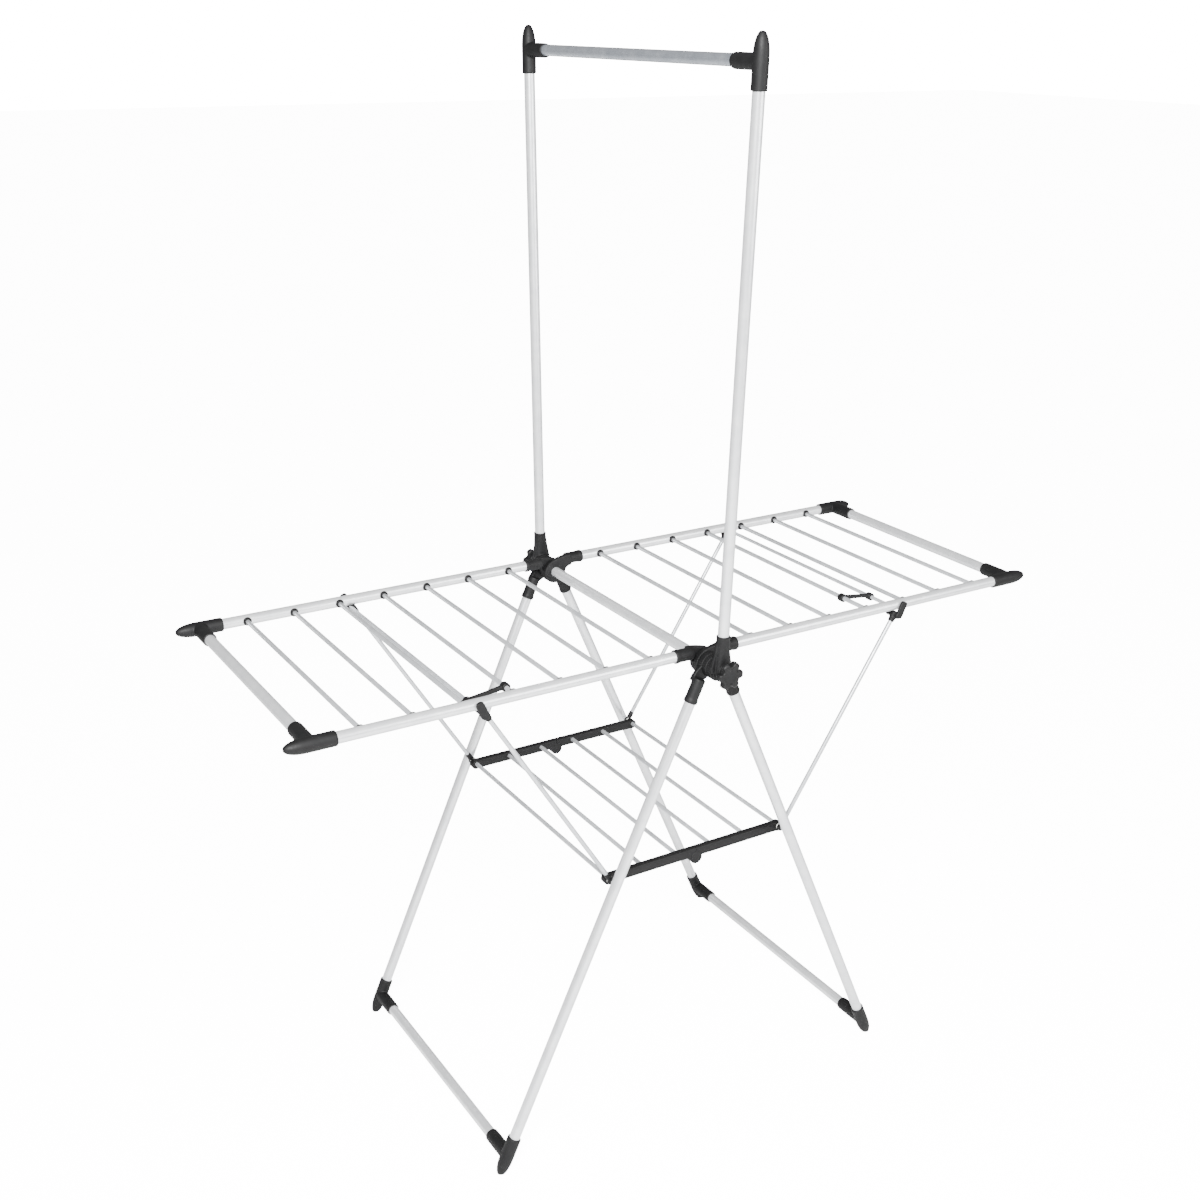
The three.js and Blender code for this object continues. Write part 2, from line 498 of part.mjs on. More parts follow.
function mastSocket(end) {
  const [low, high] = layer(end, MAST_LAYER, MAST_SOCKET_Y);
  const disc = alongY(0, HUB_HEIGHT, low, high, LEG_DISC_RADIUS, 24);
  const web = plate([[-18, HUB_HEIGHT + 8], [18, HUB_HEIGHT + 8], [SOCKET_RADIUS, HUB_HEIGHT + 46],
    [-SOCKET_RADIUS, HUB_HEIGHT + 46]], low, high);
  const tower = rod(mastAxis(-12, end), mastAxis(MAST_SOCKET_RISE, end), SOCKET_RADIUS, 16);
  const seat = alongY(0, HUB_HEIGHT, ...layer(end, (MAST_LAYER + MAST_SOCKET_Y) / 2, MAST_LAYER_END),
    MAST_SEAT_RADIUS, 20);
  const bore = rod(mastAxis(MAST_SOCKET_STOP - GAP, end), mastAxis(MAST_SOCKET_RISE + 1, end), BORE_RADIUS, 16);
  const [holeLow, holeHigh] = layer(end, MAST_LAYER - 2, MAST_LAYER_END + 2);
  const hole = alongY(0, HUB_HEIGHT, holeLow, holeHigh, HUB_BOLT_RADIUS + GAP, 12);
  const legSide = layer(end, MAST_LAYER - GAP, MAST_SOCKET_Y - SOCKET_RADIUS + 0.7);
  const reach = MAST_SOCKET_RISE;
  const [below, above] = [HUB_HEIGHT - reach, HUB_HEIGHT + reach];
  const besideLegs = plate([[-reach, below], [reach, below], [reach, above], [-reach, above]], ...legSide);
  const legSweep = besideLegs.subtract(alongY(0, HUB_HEIGHT, ...legSide, LEG_DISC_RADIUS + 4, 24));
  return cut(unite([disc, web, tower, seat]), [bore, hole, legSweep]);
}

// Star knob with its threaded shaft, which passes through the whole stack into the crossbar.
function starKnob(end) {
  const outline = [];
  const steps = KNOB_LOBES * 8;
  for (let i = 0; i < steps; i += 1) {
    const angle = (2 * Math.PI * i) / steps;
    const radius = KNOB_RADIUS - KNOB_LOBE_DEPTH * (1 - Math.cos(KNOB_LOBES * angle));
    outline.push([radius * Math.cos(angle), HUB_HEIGHT + radius * Math.sin(angle)]);
  }
  const start = MAST_LAYER_END + GAP;
  const shaftEnd = CROSSBAR_HALF_LENGTH - BOLT_ENGAGEMENT;
  return unite([
    plate(outline, ...layer(end, start + KNOB_NECK, start + KNOB_THICKNESS)),
    alongY(0, HUB_HEIGHT, ...layer(end, start, start + KNOB_NECK + 1), KNOB_NECK_RADIUS, 20),
    alongY(0, HUB_HEIGHT, ...layer(end, shaftEnd, start + KNOB_NECK + 1), HUB_BOLT_RADIUS, 12),
  ]);
}

function mastTube(end, top) {
  return pipe(mastAxis(MAST_SOCKET_STOP, end), top, TUBE_RADIUS, TUBE_RADIUS - TUBE_WALL);
}

function buildMast() {
  const mast = new THREE.Group();
  for (const [end, name] of [[1, "far"], [-1, "near"]]) {
    addPiece(mast, `mast_socket_${name}`, mastSocket(end), PLASTIC);
    const corner = mastAxis(MAST_RAIL_RISE, end);
    const up = corner.clone().sub(mastAxis(0, end)).normalize();
    const top = corner.clone().addScaledVector(up, -CAP_TUBE_STOP);
    addPiece(mast, `mast_tube_${name}`, mastTube(end, top), TUBE_FINISH);
    const cap = cornerCap(corner, up, at(0, -end, 0), CAP_SKIRT, CAP_NOSE);
    addPiece(mast, `mast_corner_cap_${name}`, cap, PLASTIC);
    addPiece(mast, `knob_${name}`, starKnob(end), KNOB_PLASTIC);
  }
  const half = mastAxis(MAST_RAIL_RISE, 1).y - SIDE_TUBE_STOP;
  const z = HUB_HEIGHT + MAST_RAIL_RISE;
  const rail = pipe(at(0, -half, z), at(0, half, z), TUBE_RADIUS, TUBE_RADIUS - TUBE_WALL);
  addPiece(mast, "hanging_rail", rail, TUBE_FINISH);
  return mast;
}

// ---------------------------------------------------------------- assembly
const crossbar = pipe(at(0, -CROSSBAR_HALF_LENGTH, HUB_HEIGHT), at(0, CROSSBAR_HALF_LENGTH, HUB_HEIGHT),
  TUBE_RADIUS, TUBE_RADIUS - TUBE_WALL);
addPiece(rack, "crossbar_tube", crossbar, TUBE_FINISH);
rack.add(buildMast());

const right = new THREE.Group();
right.add(buildWing("right", -RIGHT_LINK_Y));
right.add(buildLegFrame("right", RIGHT_FOOT_Y));
addPiece(right, "right_shelf_half", shelfHalf(false), PLASTIC);

const left = new THREE.Group();
left.rotation.z = Math.PI;
left.add(buildWing("left", LEFT_LINK_Y));
left.add(buildLegFrame("left", LEFT_FOOT_Y));
addPiece(left, "left_shelf_half", shelfHalf(true), PLASTIC);

rack.add(right, left);

export default rack;
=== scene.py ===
# %% [markdown]
# # Folding clothes drying rack
#
# The rack has two wings of rods on crossed leg frames, a folding shelf between the legs, two stays that hold
# the wings level, and a tall hanging rail. It could be modelled freely by eye, but its parts have to turn on
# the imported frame's joints. So the places and the main sizes are read from the frame, and the visible pieces
# are built round its plain solids. Lengths are millimetres until a mesh is finished, and then metres.

# %% Load the frame
import json
import math

import bmesh
import bpy
import numpy as np
from mathutils import Matrix, Vector

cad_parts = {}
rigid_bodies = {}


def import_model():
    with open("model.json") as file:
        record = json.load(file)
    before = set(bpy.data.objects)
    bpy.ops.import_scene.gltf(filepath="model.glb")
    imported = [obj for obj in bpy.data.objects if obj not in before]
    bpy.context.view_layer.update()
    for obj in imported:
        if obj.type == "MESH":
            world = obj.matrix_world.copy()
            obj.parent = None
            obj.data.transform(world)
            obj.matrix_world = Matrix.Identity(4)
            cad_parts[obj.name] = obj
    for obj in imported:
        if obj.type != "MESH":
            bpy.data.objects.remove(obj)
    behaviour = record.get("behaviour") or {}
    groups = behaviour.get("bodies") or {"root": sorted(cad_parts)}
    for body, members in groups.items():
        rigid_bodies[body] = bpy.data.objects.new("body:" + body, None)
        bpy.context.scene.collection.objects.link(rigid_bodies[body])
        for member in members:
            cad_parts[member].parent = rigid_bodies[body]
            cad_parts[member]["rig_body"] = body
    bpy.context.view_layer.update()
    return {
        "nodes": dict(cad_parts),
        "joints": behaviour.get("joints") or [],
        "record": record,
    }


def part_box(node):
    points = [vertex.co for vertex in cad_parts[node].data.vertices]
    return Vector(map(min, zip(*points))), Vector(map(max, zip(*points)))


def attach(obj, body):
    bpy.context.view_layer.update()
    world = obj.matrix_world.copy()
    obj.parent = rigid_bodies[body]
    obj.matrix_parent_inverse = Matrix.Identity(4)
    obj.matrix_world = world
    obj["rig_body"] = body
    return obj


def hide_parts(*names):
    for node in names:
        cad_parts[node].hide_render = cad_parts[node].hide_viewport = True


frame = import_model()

MM_PER_METRE = 1000
slot_of = {part["node"]: part["material_slot"] for part in frame["record"]["subparts"]}
joint_at = {joint["name"]: Vector(joint["pos_m"]) * MM_PER_METRE for joint in frame["joints"]}
body_of = {node: solid["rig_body"] for node, solid in frame["nodes"].items()}
HUB = joint_at["mast_swing"]

# %% [markdown]
# ## Measuring the frame
#
# The frame's solids are triangle meshes, which don't say where their centre lines are. The numbers could be
# typed in again, but they would go wrong when the frame changes. So a straight round solid gives its line
# from the rings of corners at its two ends, and a hub disc gives its layer from the corners of its bolt hole.

# %% Read centre lines
END_RING_DEPTH = 3


def corners(node):
    """The different corners of a solid, in millimetres, in a fixed order."""
    found = {tuple(round(c * MM_PER_METRE, 3) for c in v.co) for v in frame["nodes"][node].data.vertices}
    return np.array(sorted(found))


def centre_line(node, from_point=HUB):
    """(start, end, radius) of a straight round solid; start is the end nearer to from_point."""
    spots = corners(node)
    middle = spots.mean(0)
    heading = np.linalg.svd(spots - middle)[2][0]
    along = (spots - middle) @ heading
    ends = [spots[along < along.min() + END_RING_DEPTH].mean(0),
            spots[along > along.max() - END_RING_DEPTH].mean(0)]
    ends.sort(key=lambda p: np.linalg.norm(p - np.array(from_point)))
    start, end = Vector(ends[0]), Vector(ends[1])
    unit = np.array((end - start).normalized())
    off = (spots - ends[0]) - np.outer((spots - ends[0]) @ unit, unit)
    return start, end, float(np.linalg.norm(off, axis=1).max())


LINES = {node: centre_line(node) for node, slot in slot_of.items() if slot in ("tube", "rod", "hanging_rail")}
TUBE_RADIUS = LINES["crossbar_tube"][2]
print(len(LINES), "straight tubes and rods, tube radius", round(TUBE_RADIUS, 2), "mm")


# %% Read the layers of the hubs
def layer_of(node, centre=HUB, reach=5.0):
    """(low, high) along Y of the corners that lie close to the line through centre along Y."""
    spots = corners(node)
    near = np.hypot(spots[:, 0] - centre.x, spots[:, 2] - centre.z) < reach
    return float(spots[near, 1].min()), float(spots[near, 1].max())


print("the near right wing's disc lies at", [round(y, 1) for y in layer_of("right_wing_knuckle_near")], "mm")

# %% [markdown]
# ## A skin through rings of points
#
# Tubes, rods, sockets and moulded arms are all long bodies whose outline changes along the way. Blender has
# primitives for plain cylinders, but they can't give a rolled mouth or a bullet nose. So every body here is a
# skin that joins rings of points, and its UV is laid out in millimetres, so that drawn lines keep their size.

# %% Directions and skins
def cross_directions(heading):
    """The unit heading and two directions square to it."""
    forward = heading.normalized()
    side = Vector((0, 1, 0)) if abs(forward.y) < 0.5 else Vector((1, 0, 0))
    side = (side - forward * side.dot(forward)).normalized()
    return forward, side, forward.cross(side)


def skin(bm, rings, closed=False):
    """Joins neighbouring rings with faces. A ring of one point closes an end."""
    uv = bm.loops.layers.uv.verify()
    rows = [[bm.verts.new(p) for p in ring] for ring in rings]
    count = max(len(row) for row in rows)
    widest = max(rings, key=len)
    around = sum((widest[i] - widest[i - 1]).length for i in range(len(widest))) / count
    heights = [0.0]
    for low, high in zip(rings, rings[1:]):
        heights.append(heights[-1] + (high[0] - low[0]).length)
    heights.append(heights[-1])
    for k in range(len(rows) - 1 + closed):
        low, high = rows[k], rows[(k + 1) % len(rows)]
        for i in range(count):
            j = i + 1
            loop_points = []
            for row, index, u, v in ((low, i, i, heights[k]), (low, j, j, heights[k]),
                                     (high, j, j, heights[k + 1]), (high, i, i, heights[k + 1])):
                vertex = row[index % len(row)]
                if vertex not in [p[0] for p in loop_points]:
                    loop_points.append((vertex, u * around, v))
            if len(loop_points) < 3:
                continue
            face = bm.faces.new([p[0] for p in loop_points])
            for loop, (_, u, v) in zip(face.loops, loop_points):
                loop[uv].uv = (u, v)


print("skin tool ready")

# %% [markdown]
# ## Turned pieces, bars and lofts
#
# A socket, a cap or a knob neck is round about one line, so a profile of radius and distance describes it.
# A bar is a turned piece with softened ends, as cut wire has. A loft takes rings of any outline, from an
# ellipse to a rounded box, for the arms and towers that change shape as they go.

# %% Turned pieces and bars
def turned(bm, profile, start, heading, sides=48, closed=False):
    """Turns a profile of (radius, distance) about the line from start along heading."""
    forward, side, up = cross_directions(heading)
    rings = []
    for radius, distance in profile:
        centre = start + forward * distance
        if radius == 0:
            rings.append([centre])
            continue
        angles = [2 * math.pi * i / sides for i in range(sides)]
        rings.append([centre + (side * math.cos(a) + up * math.sin(a)) * radius for a in angles])
    skin(bm, rings, closed)


QUARTER_TURN_STEPS = (0, 0.52, 1.05, 1.571)


def bar(bm, start, end, radius, edge=0.6, sides=32):
    """A solid round bar with softened ends."""
    length = (end - start).length
    steps = [(radius - edge * (1 - math.sin(a)), edge * (1 - math.cos(a))) for a in QUARTER_TURN_STEPS]
    profile = [(0, 0), *steps, *[(r, length - d) for r, d in reversed(steps)], (0, length)]
    turned(bm, profile, start, end - start, sides)


print("turned pieces and bars ready")


# %% Rounded rings and lofts
def rounded_ring(centre, across, up, half_across, half_up, power=2.0, count=40):
    """A ring that goes from an ellipse (power 2) towards a rectangle (power 8)."""
    ring = []
    for i in range(count):
        angle = 2 * math.pi * i / count
        c, s = math.cos(angle), math.sin(angle)
        x = math.copysign(abs(c) ** (2 / power), c) * half_across
        y = math.copysign(abs(s) ** (2 / power), s) * half_up
        ring.append(centre + across * x + up * y)
    return ring


def loft(bm, rings):
    """A closed body through the rings."""
    first = sum(rings[0], Vector()) / len(rings[0])
    last = sum(rings[-1], Vector()) / len(rings[-1])
    skin(bm, [[first], *rings, [last]])


print("lofts ready")

# %% [markdown]
# ## Toothed discs
#
# The faces of the hub are discs with a finely toothed rim, which keep the folding parts from slipping. The
# teeth could be a texture, but they show in the outline of the hub, so they are real steps of the rim.

# %% Toothed discs
TOOTH_CHAMFER = 0.8
POINTS_PER_TOOTH = 4


def toothed_disc(bm, low, high, centre, radius, teeth, depth):
    """A disc across Y whose rim has fine teeth, each with two points on its crown and two in the gap."""
    count = teeth * POINTS_PER_TOOTH
    rings = []
    for y, inset in ((low, TOOTH_CHAMFER), (low + TOOTH_CHAMFER, 0),
                     (high - TOOTH_CHAMFER, 0), (high, TOOTH_CHAMFER)):
        ring = []
        for i in range(count):
            angle = 2 * math.pi * i / count
            r = radius - inset - (depth if i % POINTS_PER_TOOTH >= 2 else 0)
            ring.append(Vector((centre.x + r * math.cos(angle), y, centre.z + r * math.sin(angle))))
        rings.append(ring)
    loft(bm, rings)


print("toothed discs ready")

# %% [markdown]
# ## Moulded pieces
#
# A moulded hub piece is one body with small fillets where its parts meet. Skins laid over each other have
# hard seams, and bevels on booleans are fragile. So the overlapping skins are remeshed into one by small
# cubes, relaxed a little, which rounds the seams, and then thinned. The bores are cut last and stay crisp.

# %% Meshes and modifiers
def to_object(name, bm):
    """Turns a bmesh in millimetres into an object in metres."""
    bmesh.ops.recalc_face_normals(bm, faces=bm.faces[:])
    bmesh.ops.scale(bm, vec=Vector((1, 1, 1)) / MM_PER_METRE, verts=bm.verts[:])
    mesh = bpy.data.meshes.new(name)
    bm.to_mesh(mesh)
    bm.free()
    made = bpy.data.objects.new(name, mesh)
    bpy.context.scene.collection.objects.link(made)
    return made


def apply_modifiers(made):
    """Replaces the object's mesh with what its modifiers make of it."""
    graph = bpy.context.evaluated_depsgraph_get()
    result = bpy.data.meshes.new_from_object(made.evaluated_get(graph))
    made.modifiers.clear()
    made.data = result


print("mesh tools ready")


# %% Fused skins and bores
def fuse(made, voxel, relax, keep):
    """Makes one closed skin of overlapping ones, with soft joins."""
    remesh = made.modifiers.new("fuse", "REMESH")
    remesh.mode = "VOXEL"
    remesh.voxel_size = voxel / MM_PER_METRE
    smooth = made.modifiers.new("relax", "SMOOTH")
    smooth.factor = 0.5
    smooth.iterations = relax
    thin = made.modifiers.new("thin", "DECIMATE")
    thin.ratio = keep
    apply_modifiers(made)


def bore(made, holes):
    """Cuts round holes, each a (start, end, radius), out of the object."""
    cutters = []
    for start, end, radius in holes:
        bm = bmesh.new()
        length = (end - start).length
        turned(bm, [(0, 0), (radius, 0), (radius, length), (0, length)], start, end - start, 40)
        cutter = to_object("cutter", bm)
        cut = made.modifiers.new("bore", "BOOLEAN")
        cut.operation = "DIFFERENCE"
        cut.solver = "EXACT"
        cut.object = cutter
        cutters.append(cutter)
    apply_modifiers(made)
    for cutter in cutters:
        mesh = cutter.data
        bpy.data.objects.remove(cutter)
        bpy.data.meshes.remove(mesh)


print("fusing and boring ready")

# %% [markdown]
# ## Fitting pieces to the frame
#
# Every finished piece gets a material and moves with one body of the rack, and one piece of each solid also
# stands in for it by hiding it. Parenting alone would move a piece, but wouldn't hide the solid it replaces,
# so the frame's own calls do both.

# %% Fitting pieces to their solids
def fit(made, material, node, stands_for=True, sharp=32):
    """Gives a piece its material and joins it to the body of its solid."""
    made.data.materials.clear()
    made.data.materials.append(material)
    made.data.shade_smooth()
    made.data.set_sharp_from_angle(angle=math.radians(sharp))
    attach(made, body_of[node])
    if stands_for:
        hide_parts(node)
    return made


def moulded(name, bm, node, holes=(), voxel=0.75, relax=5, keep=0.45, stands_for=True, material=None):
    """A fused and bored piece of charcoal plastic, fitted to its solid."""
    made = to_object(name, bm)
    fuse(made, voxel, relax, keep)
    if holes:
        bore(made, holes)
    return fit(made, material or PLASTIC, node, stands_for, sharp=40)


print("fitting tools ready")

# %% [markdown]
# ## Colours and nodes
#
# Shaders work in linear light, and colours are easier to read as sRGB hex values, so one function turns one
# into the other. Another adds a node with its settings and links. Patterns are worked out in millimetres, and
# object coordinates are in metres, so a pattern of a given size has a scale of 1000 over that size.

# %% Node helpers
def linear(hex_colour):
    """Linear RGBA of an sRGB hex colour."""
    parts = [int(hex_colour[i:i + 2], 16) / 255 for i in (1, 3, 5)]
    return (*[c / 12.92 if c <= 0.04045 else ((c + 0.055) / 1.055) ** 2.4 for c in parts], 1.0)


def add_node(tree, kind, inputs=None, **settings):
    """Adds a node, applies its settings, and sets or links its inputs."""
    made = tree.nodes.new(kind)
    for key, value in settings.items():
        setattr(made, key, value)
    for socket, value in (inputs or {}).items():
        if isinstance(value, bpy.types.NodeSocket):
            tree.links.new(value, made.inputs[socket])
        else:
            made.inputs[socket].default_value = value
    return made


def new_material(name):
    """An empty node material and its tree."""
    material = bpy.data.materials.new(name)
    material.use_nodes = True
    material.node_tree.nodes.clear()
    return material, material.node_tree


print("black is", linear("#000000")[:3], "and white is", linear("#ffffff")[:3])

# %% [markdown]
# ## Lacquered drawn aluminium
#
# The frame is drawn aluminium tube and the rods are drawn wire, both under a thin sprayed silver lacquer.
# Drawing leaves faint lines along the length, and spraying adds a soft mottle and an orange peel. A bare
# metal would mirror the room and a grey plastic would look dead, so the shader is part metal, part painted
# colour, under a light coat. The lines really are finer than a tenth of a millimetre. They are drawn half a
# millimetre apart, or they wouldn't show at all.

# %% Lacquered aluminium finishes
LINES_PER_MM = (1.9, 0.02, 1)
MOTTLE_MM = 22
PEEL_MM = 0.9
PEEL_DEPTH = 0.00003
COAT_ROUGHNESS = 0.18


def lacquered_aluminium(name, light, dark, metallic, rough_low, rough_high, coat):
    """Drawn metal under silver lacquer, from light to dark in the mottle."""
    material, tree = new_material(name)
    place = add_node(tree, "ShaderNodeTexCoord")
    stretched = add_node(tree, "ShaderNodeMapping", {"Vector": place.outputs["UV"], "Scale": LINES_PER_MM})
    lines = add_node(tree, "ShaderNodeTexNoise", {"Vector": stretched.outputs["Vector"], "Scale": 1.0,
                                                  "Detail": 3.0}).outputs[0]
    mottle = add_node(tree, "ShaderNodeTexNoise", {"Vector": place.outputs["Object"],
                                                   "Scale": MM_PER_METRE / MOTTLE_MM, "Detail": 3}).outputs[0]
    peel = add_node(tree, "ShaderNodeTexNoise", {"Vector": place.outputs["Object"],
                                                 "Scale": MM_PER_METRE / PEEL_MM, "Detail": 2}).outputs[0]
    shade = add_node(tree, "ShaderNodeMapRange", {"Value": mottle, "From Min": 0.3, "From Max": 0.7})
    colour = add_node(tree, "ShaderNodeMix", {0: shade.outputs["Result"], 6: linear(dark), 7: linear(light)},
                      data_type="RGBA")
    line_shade = add_node(tree, "ShaderNodeMapRange", {"Value": lines, "From Min": 0.35, "From Max": 0.65,
                                                       "To Min": 0.0, "To Max": 0.16})
    colour = add_node(tree, "ShaderNodeMix", {0: line_shade.outputs["Result"], 6: colour.outputs[2],
                                              7: linear(dark)}, data_type="RGBA")
    roughness = add_node(tree, "ShaderNodeMapRange", {"Value": lines, "From Min": 0.3, "From Max": 0.7,
                                                      "To Min": rough_low, "To Max": rough_high})
    relief = add_node(tree, "ShaderNodeMath", {0: lines, 1: peel}, operation="ADD")
    bump = add_node(tree, "ShaderNodeBump", {"Height": relief.outputs[0], "Strength": 0.35,
                                             "Distance": PEEL_DEPTH})
    shader = add_node(tree, "ShaderNodeBsdfPrincipled",
                      {"Base Color": colour.outputs[2], "Metallic": metallic,
                       "Roughness": roughness.outputs["Result"], "Coat Weight": coat,
                       "Coat Roughness": COAT_ROUGHNESS, "Normal": bump.outputs["Normal"]})
    add_node(tree, "ShaderNodeOutputMaterial", {"Surface": shader.outputs["BSDF"]})
    return material


TUBE = lacquered_aluminium("lacquered_aluminium_tube", "#f0f1f2", "#dfe1e4", 0.6, 0.26, 0.38, 0.35)
RAIL = lacquered_aluminium("lacquered_aluminium_rail", "#c9ced6", "#aab1bb", 0.85, 0.22, 0.32, 0.4)
ROD = lacquered_aluminium("lacquered_aluminium_rod", "#d3d5d8", "#bdc0c4", 0.55, 0.32, 0.44, 0.2)
print(TUBE.name, RAIL.name, ROD.name)

# %% [markdown]
# ## Moulded polypropylene, vinyl and nylon
#
# The fittings are injection-moulded polypropylene, coloured through, from an eroded mould that leaves a fine
# matt grain. The hollows are darkened with painted shade, the edges are paler where rubbed, and the sheen is
# uneven. Vinyl grommets and nylon washers are moulded too, so one function makes all five finishes. The real
# grain is about 0.1 mm; it is drawn at about half a millimetre so that it shows. The sheen is turned down from
# the usual value for plastic, because the grain scatters it.

# %% Moulded finishes
CLOUD_MM = 14
SCUFF_MM = 3
GRAIN_DEPTH = 0.00008
GRAIN_SHEEN = 0.25


def moulded_plastic(name, base, worn, dusty, rough_low, rough_high, grain_mm):
    """Moulded plastic with a fine grain, uneven sheen, pale rubbed edges and painted shade in the hollows."""
    material, tree = new_material(name)
    place = add_node(tree, "ShaderNodeTexCoord").outputs["Object"]
    cloud = add_node(tree, "ShaderNodeTexNoise", {"Vector": place, "Scale": MM_PER_METRE / CLOUD_MM,
                                                  "Detail": 4}).outputs[0]
    grain = add_node(tree, "ShaderNodeTexNoise", {"Vector": place, "Scale": MM_PER_METRE / grain_mm,
                                                  "Detail": 2, "Roughness": 0.6}).outputs[0]
    scuff = add_node(tree, "ShaderNodeTexNoise", {"Vector": place, "Scale": MM_PER_METRE / SCUFF_MM,
                                                  "Detail": 5, "Roughness": 0.7}).outputs[0]
    bend = add_node(tree, "ShaderNodeNewGeometry").outputs["Pointiness"]
    edge = add_node(tree, "ShaderNodeMapRange", {"Value": bend, "From Min": 0.53, "From Max": 0.62})
    rubbed = add_node(tree, "ShaderNodeMapRange", {"Value": scuff, "From Min": 0.4, "From Max": 0.65,
                                                   "To Max": 0.6})
    wear = add_node(tree, "ShaderNodeMath", {0: edge.outputs["Result"], 1: rubbed.outputs["Result"]},
                    operation="MULTIPLY")
    # painted shade: where the pointiness is low, in hollows and creases, the colour is darkened
    painted_hollow_shade = add_node(tree, "ShaderNodeMapRange", {"Value": bend, "From Min": 0.47, "From Max": 0.40,
                                                   "To Max": 0.25})
    patch = add_node(tree, "ShaderNodeMapRange", {"Value": cloud, "From Min": 0.35, "From Max": 0.65})
    colour = add_node(tree, "ShaderNodeMix", {0: patch.outputs["Result"], 6: linear(base), 7: linear(dusty)},
                      data_type="RGBA")
    # painted shade: the hollows are mixed towards near black
    colour = add_node(tree, "ShaderNodeMix", {0: painted_hollow_shade.outputs["Result"], 6: colour.outputs[2],
                                              7: linear("#060607")}, data_type="RGBA")
    colour = add_node(tree, "ShaderNodeMix", {0: wear.outputs[0], 6: colour.outputs[2], 7: linear(worn)},
                      data_type="RGBA")
    roughness = add_node(tree, "ShaderNodeMapRange", {"Value": scuff, "From Min": 0.3, "From Max": 0.7,
                                                      "To Min": rough_low, "To Max": rough_high})
    bump = add_node(tree, "ShaderNodeBump", {"Height": grain, "Strength": 0.4, "Distance": GRAIN_DEPTH})
    shader = add_node(tree, "ShaderNodeBsdfPrincipled",
                      {"Base Color": colour.outputs[2], "Roughness": roughness.outputs["Result"],
                       "Specular IOR Level": GRAIN_SHEEN, "Normal": bump.outputs["Normal"]})
    add_node(tree, "ShaderNodeOutputMaterial", {"Surface": shader.outputs["BSDF"]})
    return material


PLASTIC = moulded_plastic("charcoal_polypropylene", "#0b0b0c", "#2a2a2d", "#111112", 0.5, 0.66, 0.5)
KNOB_PLASTIC = moulded_plastic("knob_polypropylene", "#0b0b0c", "#27272a", "#111112", 0.48, 0.62, 0.45)
BAR_PLASTIC = moulded_plastic("shelf_bar_polypropylene", "#080809", "#202022", "#0d0d0e", 0.5, 0.66, 0.5)
GROMMET = moulded_plastic("black_vinyl", "#050506", "#161618", "#0a0a0b", 0.4, 0.55, 0.35)
NYLON = moulded_plastic("white_nylon", "#dcdcd8", "#efefec", "#d2d2cd", 0.35, 0.5, 0.35)
print(PLASTIC.name, KNOB_PLASTIC.name, BAR_PLASTIC.name, GROMMET.name, NYLON.name)

# %% [markdown]
# ## Tubes and rods
#
# The frames are sawn tube and the rods are cut wire. A tube could be a cylinder with a solidify modifier, but
# a closed profile turned about the centre line gives the wall and the sawn edges at once, with the UV that
# the drawn lines follow. The ends sit in sockets, so they stay simple.

# %% Tubes and rods
WALL = 1.0
SAWN_EDGE = 0.3


def make_tube(node, material):
    """A round tube with a real wall and slightly broken edges."""
    start, end, radius = LINES[node]
    length = (end - start).length
    profile = [(radius - WALL, 0), (radius - SAWN_EDGE, 0), (radius, SAWN_EDGE),
               (radius, length - SAWN_EDGE), (radius - SAWN_EDGE, length), (radius - WALL, length)]
    bm = bmesh.new()
    turned(bm, profile, start, end - start, 56, closed=True)
    fit(to_object(node + "_detail", bm), material, node)


def make_rod(node):
    """A solid rod with softened ends."""
    bm = bmesh.new()
    bar(bm, *LINES[node])
    fit(to_object(node + "_detail", bm), ROD, node)


for node in LINES:
    if slot_of[node] == "rod":
        make_rod(node)
    else:
        make_tube(node, RAIL if slot_of[node] == "hanging_rail" else TUBE)
print(len(LINES), "tubes and rods made")

# %% [markdown]
# ## Grommets
#
# Each wing rod enters its rail through a soft black vinyl grommet, which keeps it from rattling. Only the
# collar shows, so each one is a turned collar that starts just inside the rail's outline. They could be 28
# pieces, but none of them moves by itself, so the collars of one rail are one piece.

# %% Grommets where the rods enter the rails
GROMMET_RADIUS = 7.5
GROMMET_THICKNESS = 4.0
GROMMET_SINK = 1.2
GROMMET_CLEARANCE = 0.15


def make_grommets(side, end):
    """The collars on the inner face of one wing rail, one round each rod."""
    rail_start, _, rail_radius = LINES[f"{side}_wing_rail_{end}"]
    inward = Vector((0, -math.copysign(1, rail_start.y), 0))
    face = rail_start.y + inward.y * (rail_radius - GROMMET_SINK)
    rods = [node for node in LINES if node.startswith(f"{side}_wing_rod_")]
    bm = bmesh.new()
    for rod in rods:
        start, _, radius = LINES[rod]
        hole = radius + GROMMET_CLEARANCE
        profile = [(hole, 0), (GROMMET_RADIUS, 0), (GROMMET_RADIUS, 2.2), (GROMMET_RADIUS - 0.5, 3.2),
                   (GROMMET_RADIUS - 1.4, GROMMET_THICKNESS), (hole, GROMMET_THICKNESS)]
        turned(bm, profile, Vector((start.x, face, start.z)), inward, 32, closed=True)
    fit(to_object(f"{side}_grommets_{end}", bm), GROMMET, rods[0], stands_for=False)
    return len(rods)


made_count = sum(make_grommets(side, end) for side in ("left", "right") for end in ("near", "far"))
print(made_count, "grommets made")

# %% [markdown]
# ## Sockets and arms of the hubs
#
# A hub is a stack of moulded discs on one bolt, and each disc has an arm that ends in a socket for a tube. A
# socket is turned, with a rolled mouth that keeps its thin edge from splitting. An arm stays in its own layer
# of the stack. It could be an extruded outline, but its edges would be hard and its width couldn't follow the
# bend, so it is a loft through boxy rings.

# %% Sockets and plates
SOCKET_WALL = 1.9
TUBE_CLEARANCE = 0.12
SOCKET_RADIUS = TUBE_RADIUS + SOCKET_WALL
TUBE_HOLE = TUBE_RADIUS + TUBE_CLEARANCE


